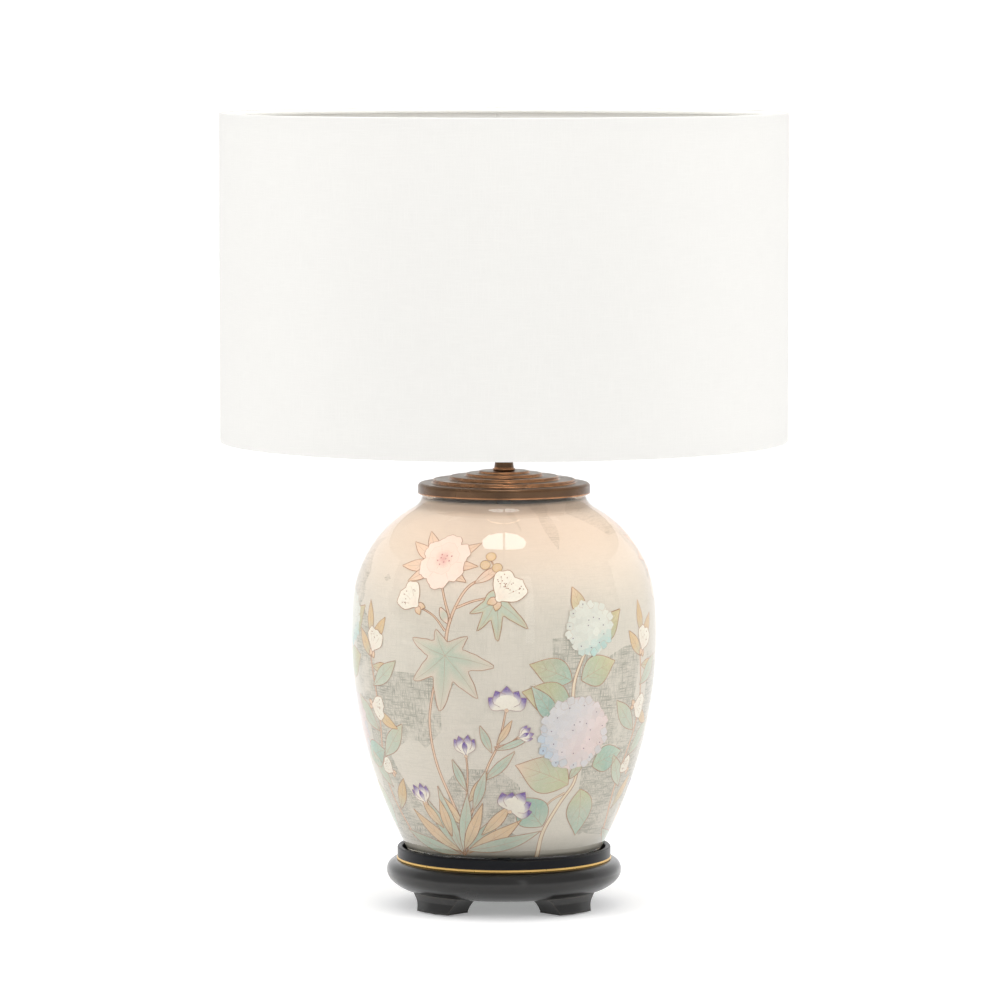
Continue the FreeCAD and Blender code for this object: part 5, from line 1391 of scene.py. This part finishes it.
class LAMP_OT_stand(bpy.types.Operator):
    """Finishes the black lacquered stand, its gilt line and its felt"""

    bl_idname = "lamp.stand"
    bl_label = "Lacquered stand"

    def execute(self, context):
        given = context.scene.lamp_stand
        material, n, surface = new_material("black_lacquer")
        where = n.place()
        tone, fine = n.effect(patina(), Vector=where, Cloud=30.0, Fine=260.0)
        worn = n.effect(rubbed(), Vector=where, Width=0.0013, Amount=0.55)["Mask"]
        height = n.height(where)
        black = n.blend(tone, darker(given.lacquer, 0.6), given.lacquer)
        black = n.blend(n.between(height, COLLAR_Z, COLLAR_Z + MM), black, given.collar)
        clouded = n.between(tone, 0.0, 1.0, 0.26, 0.34)
        n.feed(surface, n.principled({
            "Base Color": n.blend(worn, black, given.undercoat),
            "Roughness": n.maths("ADD", clouded, n.maths("MULTIPLY", worn, 0.12)),
            "Coat Weight": n.between(height, COAT_TOP_Z - MM, COAT_TOP_Z, 0.6, 0.0),
            "Coat Roughness": 0.12,
            "Coat IOR": 1.6,
            "Specular IOR Level": 0.15,
            "Normal": n.bump(fine, 0.00005, 0.3),
        }))
        feet = (f"{side}_foot" for side in ("front_right", "back_right", "back_left", "front_left"))
        dress(material, "stand_body", *feet)

        gilt, n, surface = new_material("gilt_line")
        tone, fine = n.effect(patina(), Vector=n.place(), Cloud=70.0, Fine=500.0)
        n.feed(surface, n.principled({
            "Base Color": n.blend(tone, darker(given.gilt, 0.8), given.gilt),
            "Metallic": 0.75,
            "Roughness": n.between(fine, 0.3, 0.7, 0.26, 0.42),
            "Normal": n.bump(fine, 0.00004, 0.4),
        }))
        dress(gilt, "gilt_band")

        felt = finish(
            "green_felt", given.felt, darker(given.felt, 0.6), 0.93, 0.04, grain=1600.0,
            cloud=220.0, depth=0.0003, Sheen_Weight=0.5, Specular_IOR_Level=0.1,
        )
        dress(felt, "felt_pads", "base_felt")
        return {"FINISHED"}


class LAMP_OT_fittings(bpy.types.Operator):
    """Finishes the rod's hardware, the rubber rings and the inside of the lampholder"""

    bl_idname = "lamp.fittings"
    bl_label = "Fittings"

    def execute(self, context):
        given, metal = context.scene.lamp_fitting, context.scene.lamp_metal
        steel = finish("zinc_plate", metal.steel, darker(metal.steel, 0.8), 0.34, 0.08, 1.0, 600.0, 90.0)
        brass = finish("bare_brass", metal.brass, darker(metal.brass), 0.30, 0.08, 1.0, 600.0, 60.0)
        rubber = finish(
            "black_rubber", given.rubber, darker(given.rubber, 0.7), 0.72, 0.06, grain=700.0, depth=0.00008
        )
        plastic = finish(
            "black_plastic", given.plastic, darker(given.plastic, 0.8), 0.40, 0.06, grain=900.0
        )
        porcelain = finish(
            "glazed_porcelain", given.porcelain, darker(given.porcelain, 0.93), 0.18, 0.05,
            grain=200.0, Coat_Weight=0.5,
        )
        board = finish(
            "fibre_board", given.board, darker(given.board, 0.7), 0.85, 0.05, grain=800.0,
            cloud=120.0, depth=0.0002,
        )
        dress(steel, "threaded_rod", "well_washer", "well_nut", "disc_nut", "entry_nut")
        dress(brass, "socket_shell", "centre_contact", "terminal_blocks", "terminal_screws", "switch_leaves")
        dress(rubber, "cord_bush", "vase_seat", "vase_bush", "cap_gasket")
        dress(plastic, "switch_bar", "switch_bridge")
        dress(porcelain, "holder_insert")
        dress(board, "centring_disc")
        return {"FINISHED"}


class LAMP_OT_bulb(bpy.types.Operator):
    """Finishes the bulb and lights its globe"""

    bl_idname = "lamp.bulb"
    bl_label = "Bulb"

    def execute(self, context):
        given, metal = context.scene.lamp_bulb, context.scene.lamp_metal
        globe, n, surface = new_material("opal_globe")
        tone, fine = n.effect(patina(), Vector=n.place(), Cloud=12.0, Fine=200.0)
        n.feed(surface, n.principled({
            "Base Color": n.blend(tone, (0.92, 0.90, 0.86), (0.96, 0.94, 0.90)),
            "Roughness": n.between(fine, 0.3, 0.7, 0.25, 0.35),
            "Emission Color": n.blend(tone, darker(given.light_colour, 0.94), given.light_colour),
            "Emission Strength": given.light_strength,
        }))
        dress(globe, "bulb_globe")

        glowing, n, surface = new_material("lit_phosphor")
        tone, fine = n.effect(patina(), Vector=n.place(), Cloud=200.0, Fine=900.0)
        n.feed(surface, n.principled({
            "Base Color": n.blend(tone, linear(226, 190, 60), linear(240, 208, 90)),
            "Roughness": n.between(fine, 0.3, 0.7, 0.4, 0.5),
            "Emission Color": n.blend(tone, darker(given.light_colour, 0.9), given.light_colour),
            "Emission Strength": 3.0,
        }))
        dress(glowing, "led_chips")

        shell = finish(
            "bulb_housing", given.shell_colour, darker(given.shell_colour, 0.94), 0.35, 0.05, grain=900.0
        )
        plated = finish("plated_brass", metal.steel, darker(metal.steel, 0.82), 0.24, 0.06, 1.0, 500.0, 80.0)
        collar = finish(
            "black_glaze", linear(18, 18, 22), linear(12, 12, 15), 0.25, 0.05, grain=300.0, Coat_Weight=0.4
        )
        alloy = finish(
            "plain_aluminium", linear(198, 199, 202), linear(176, 178, 182), 0.38, 0.08, 1.0, 700.0, 100.0
        )
        circuit = finish(
            "circuit_board", linear(28, 92, 58), linear(18, 64, 40), 0.42, 0.06, grain=900.0, cloud=180.0
        )
        dress(shell, "bulb_body")
        dress(plated, "bulb_tip", "bulb_screw")
        dress(collar, "bulb_collar")
        dress(alloy, "led_board")
        dress(circuit, "driver_board")
        return {"FINISHED"}


# ---------------------------------------------------------------- the panel

OPERATORS = (
    LAMP_OT_stage,
    LAMP_OT_shade_cloth,
    LAMP_OT_shade_frame,
    LAMP_OT_paper,
    LAMP_OT_garden,
    LAMP_OT_glass,
    LAMP_OT_bronze,
    LAMP_OT_stand,
    LAMP_OT_fittings,
    LAMP_OT_bulb,
)


class LAMP_PT_pieces(bpy.types.Panel):
    """Lists the lamp's pieces and their settings"""

    bl_idname = "LAMP_PT_pieces"
    bl_label = "Table lamp"
    bl_space_type = "VIEW_3D"
    bl_region_type = "UI"
    bl_category = "Lamp"

    def draw(self, context):
        for operator in OPERATORS:
            self.layout.operator(operator.bl_idname)
        for name, group in SETTINGS.items():
            box = self.layout.box()
            box.label(text=name.replace("_", " ").capitalize())
            for setting in group.__annotations__:
                box.prop(getattr(context.scene, name), setting)


def register():
    for name, group in SETTINGS.items():
        bpy.utils.register_class(group)
        setattr(bpy.types.Scene, name, bpy.props.PointerProperty(type=group))
    for operator in OPERATORS:
        bpy.utils.register_class(operator)
    bpy.utils.register_class(LAMP_PT_pieces)


def unregister():
    bpy.utils.unregister_class(LAMP_PT_pieces)
    for operator in reversed(OPERATORS):
        bpy.utils.unregister_class(operator)
    for name, group in reversed(SETTINGS.items()):
        delattr(bpy.types.Scene, name)
        bpy.utils.unregister_class(group)


def main():
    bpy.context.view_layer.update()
    register()
    for operator in OPERATORS:
        group, name = operator.bl_idname.split(".")
        getattr(getattr(bpy.ops, group), name)()
    bpy.context.view_layer.update()


if __name__ == "__main__":
    main()
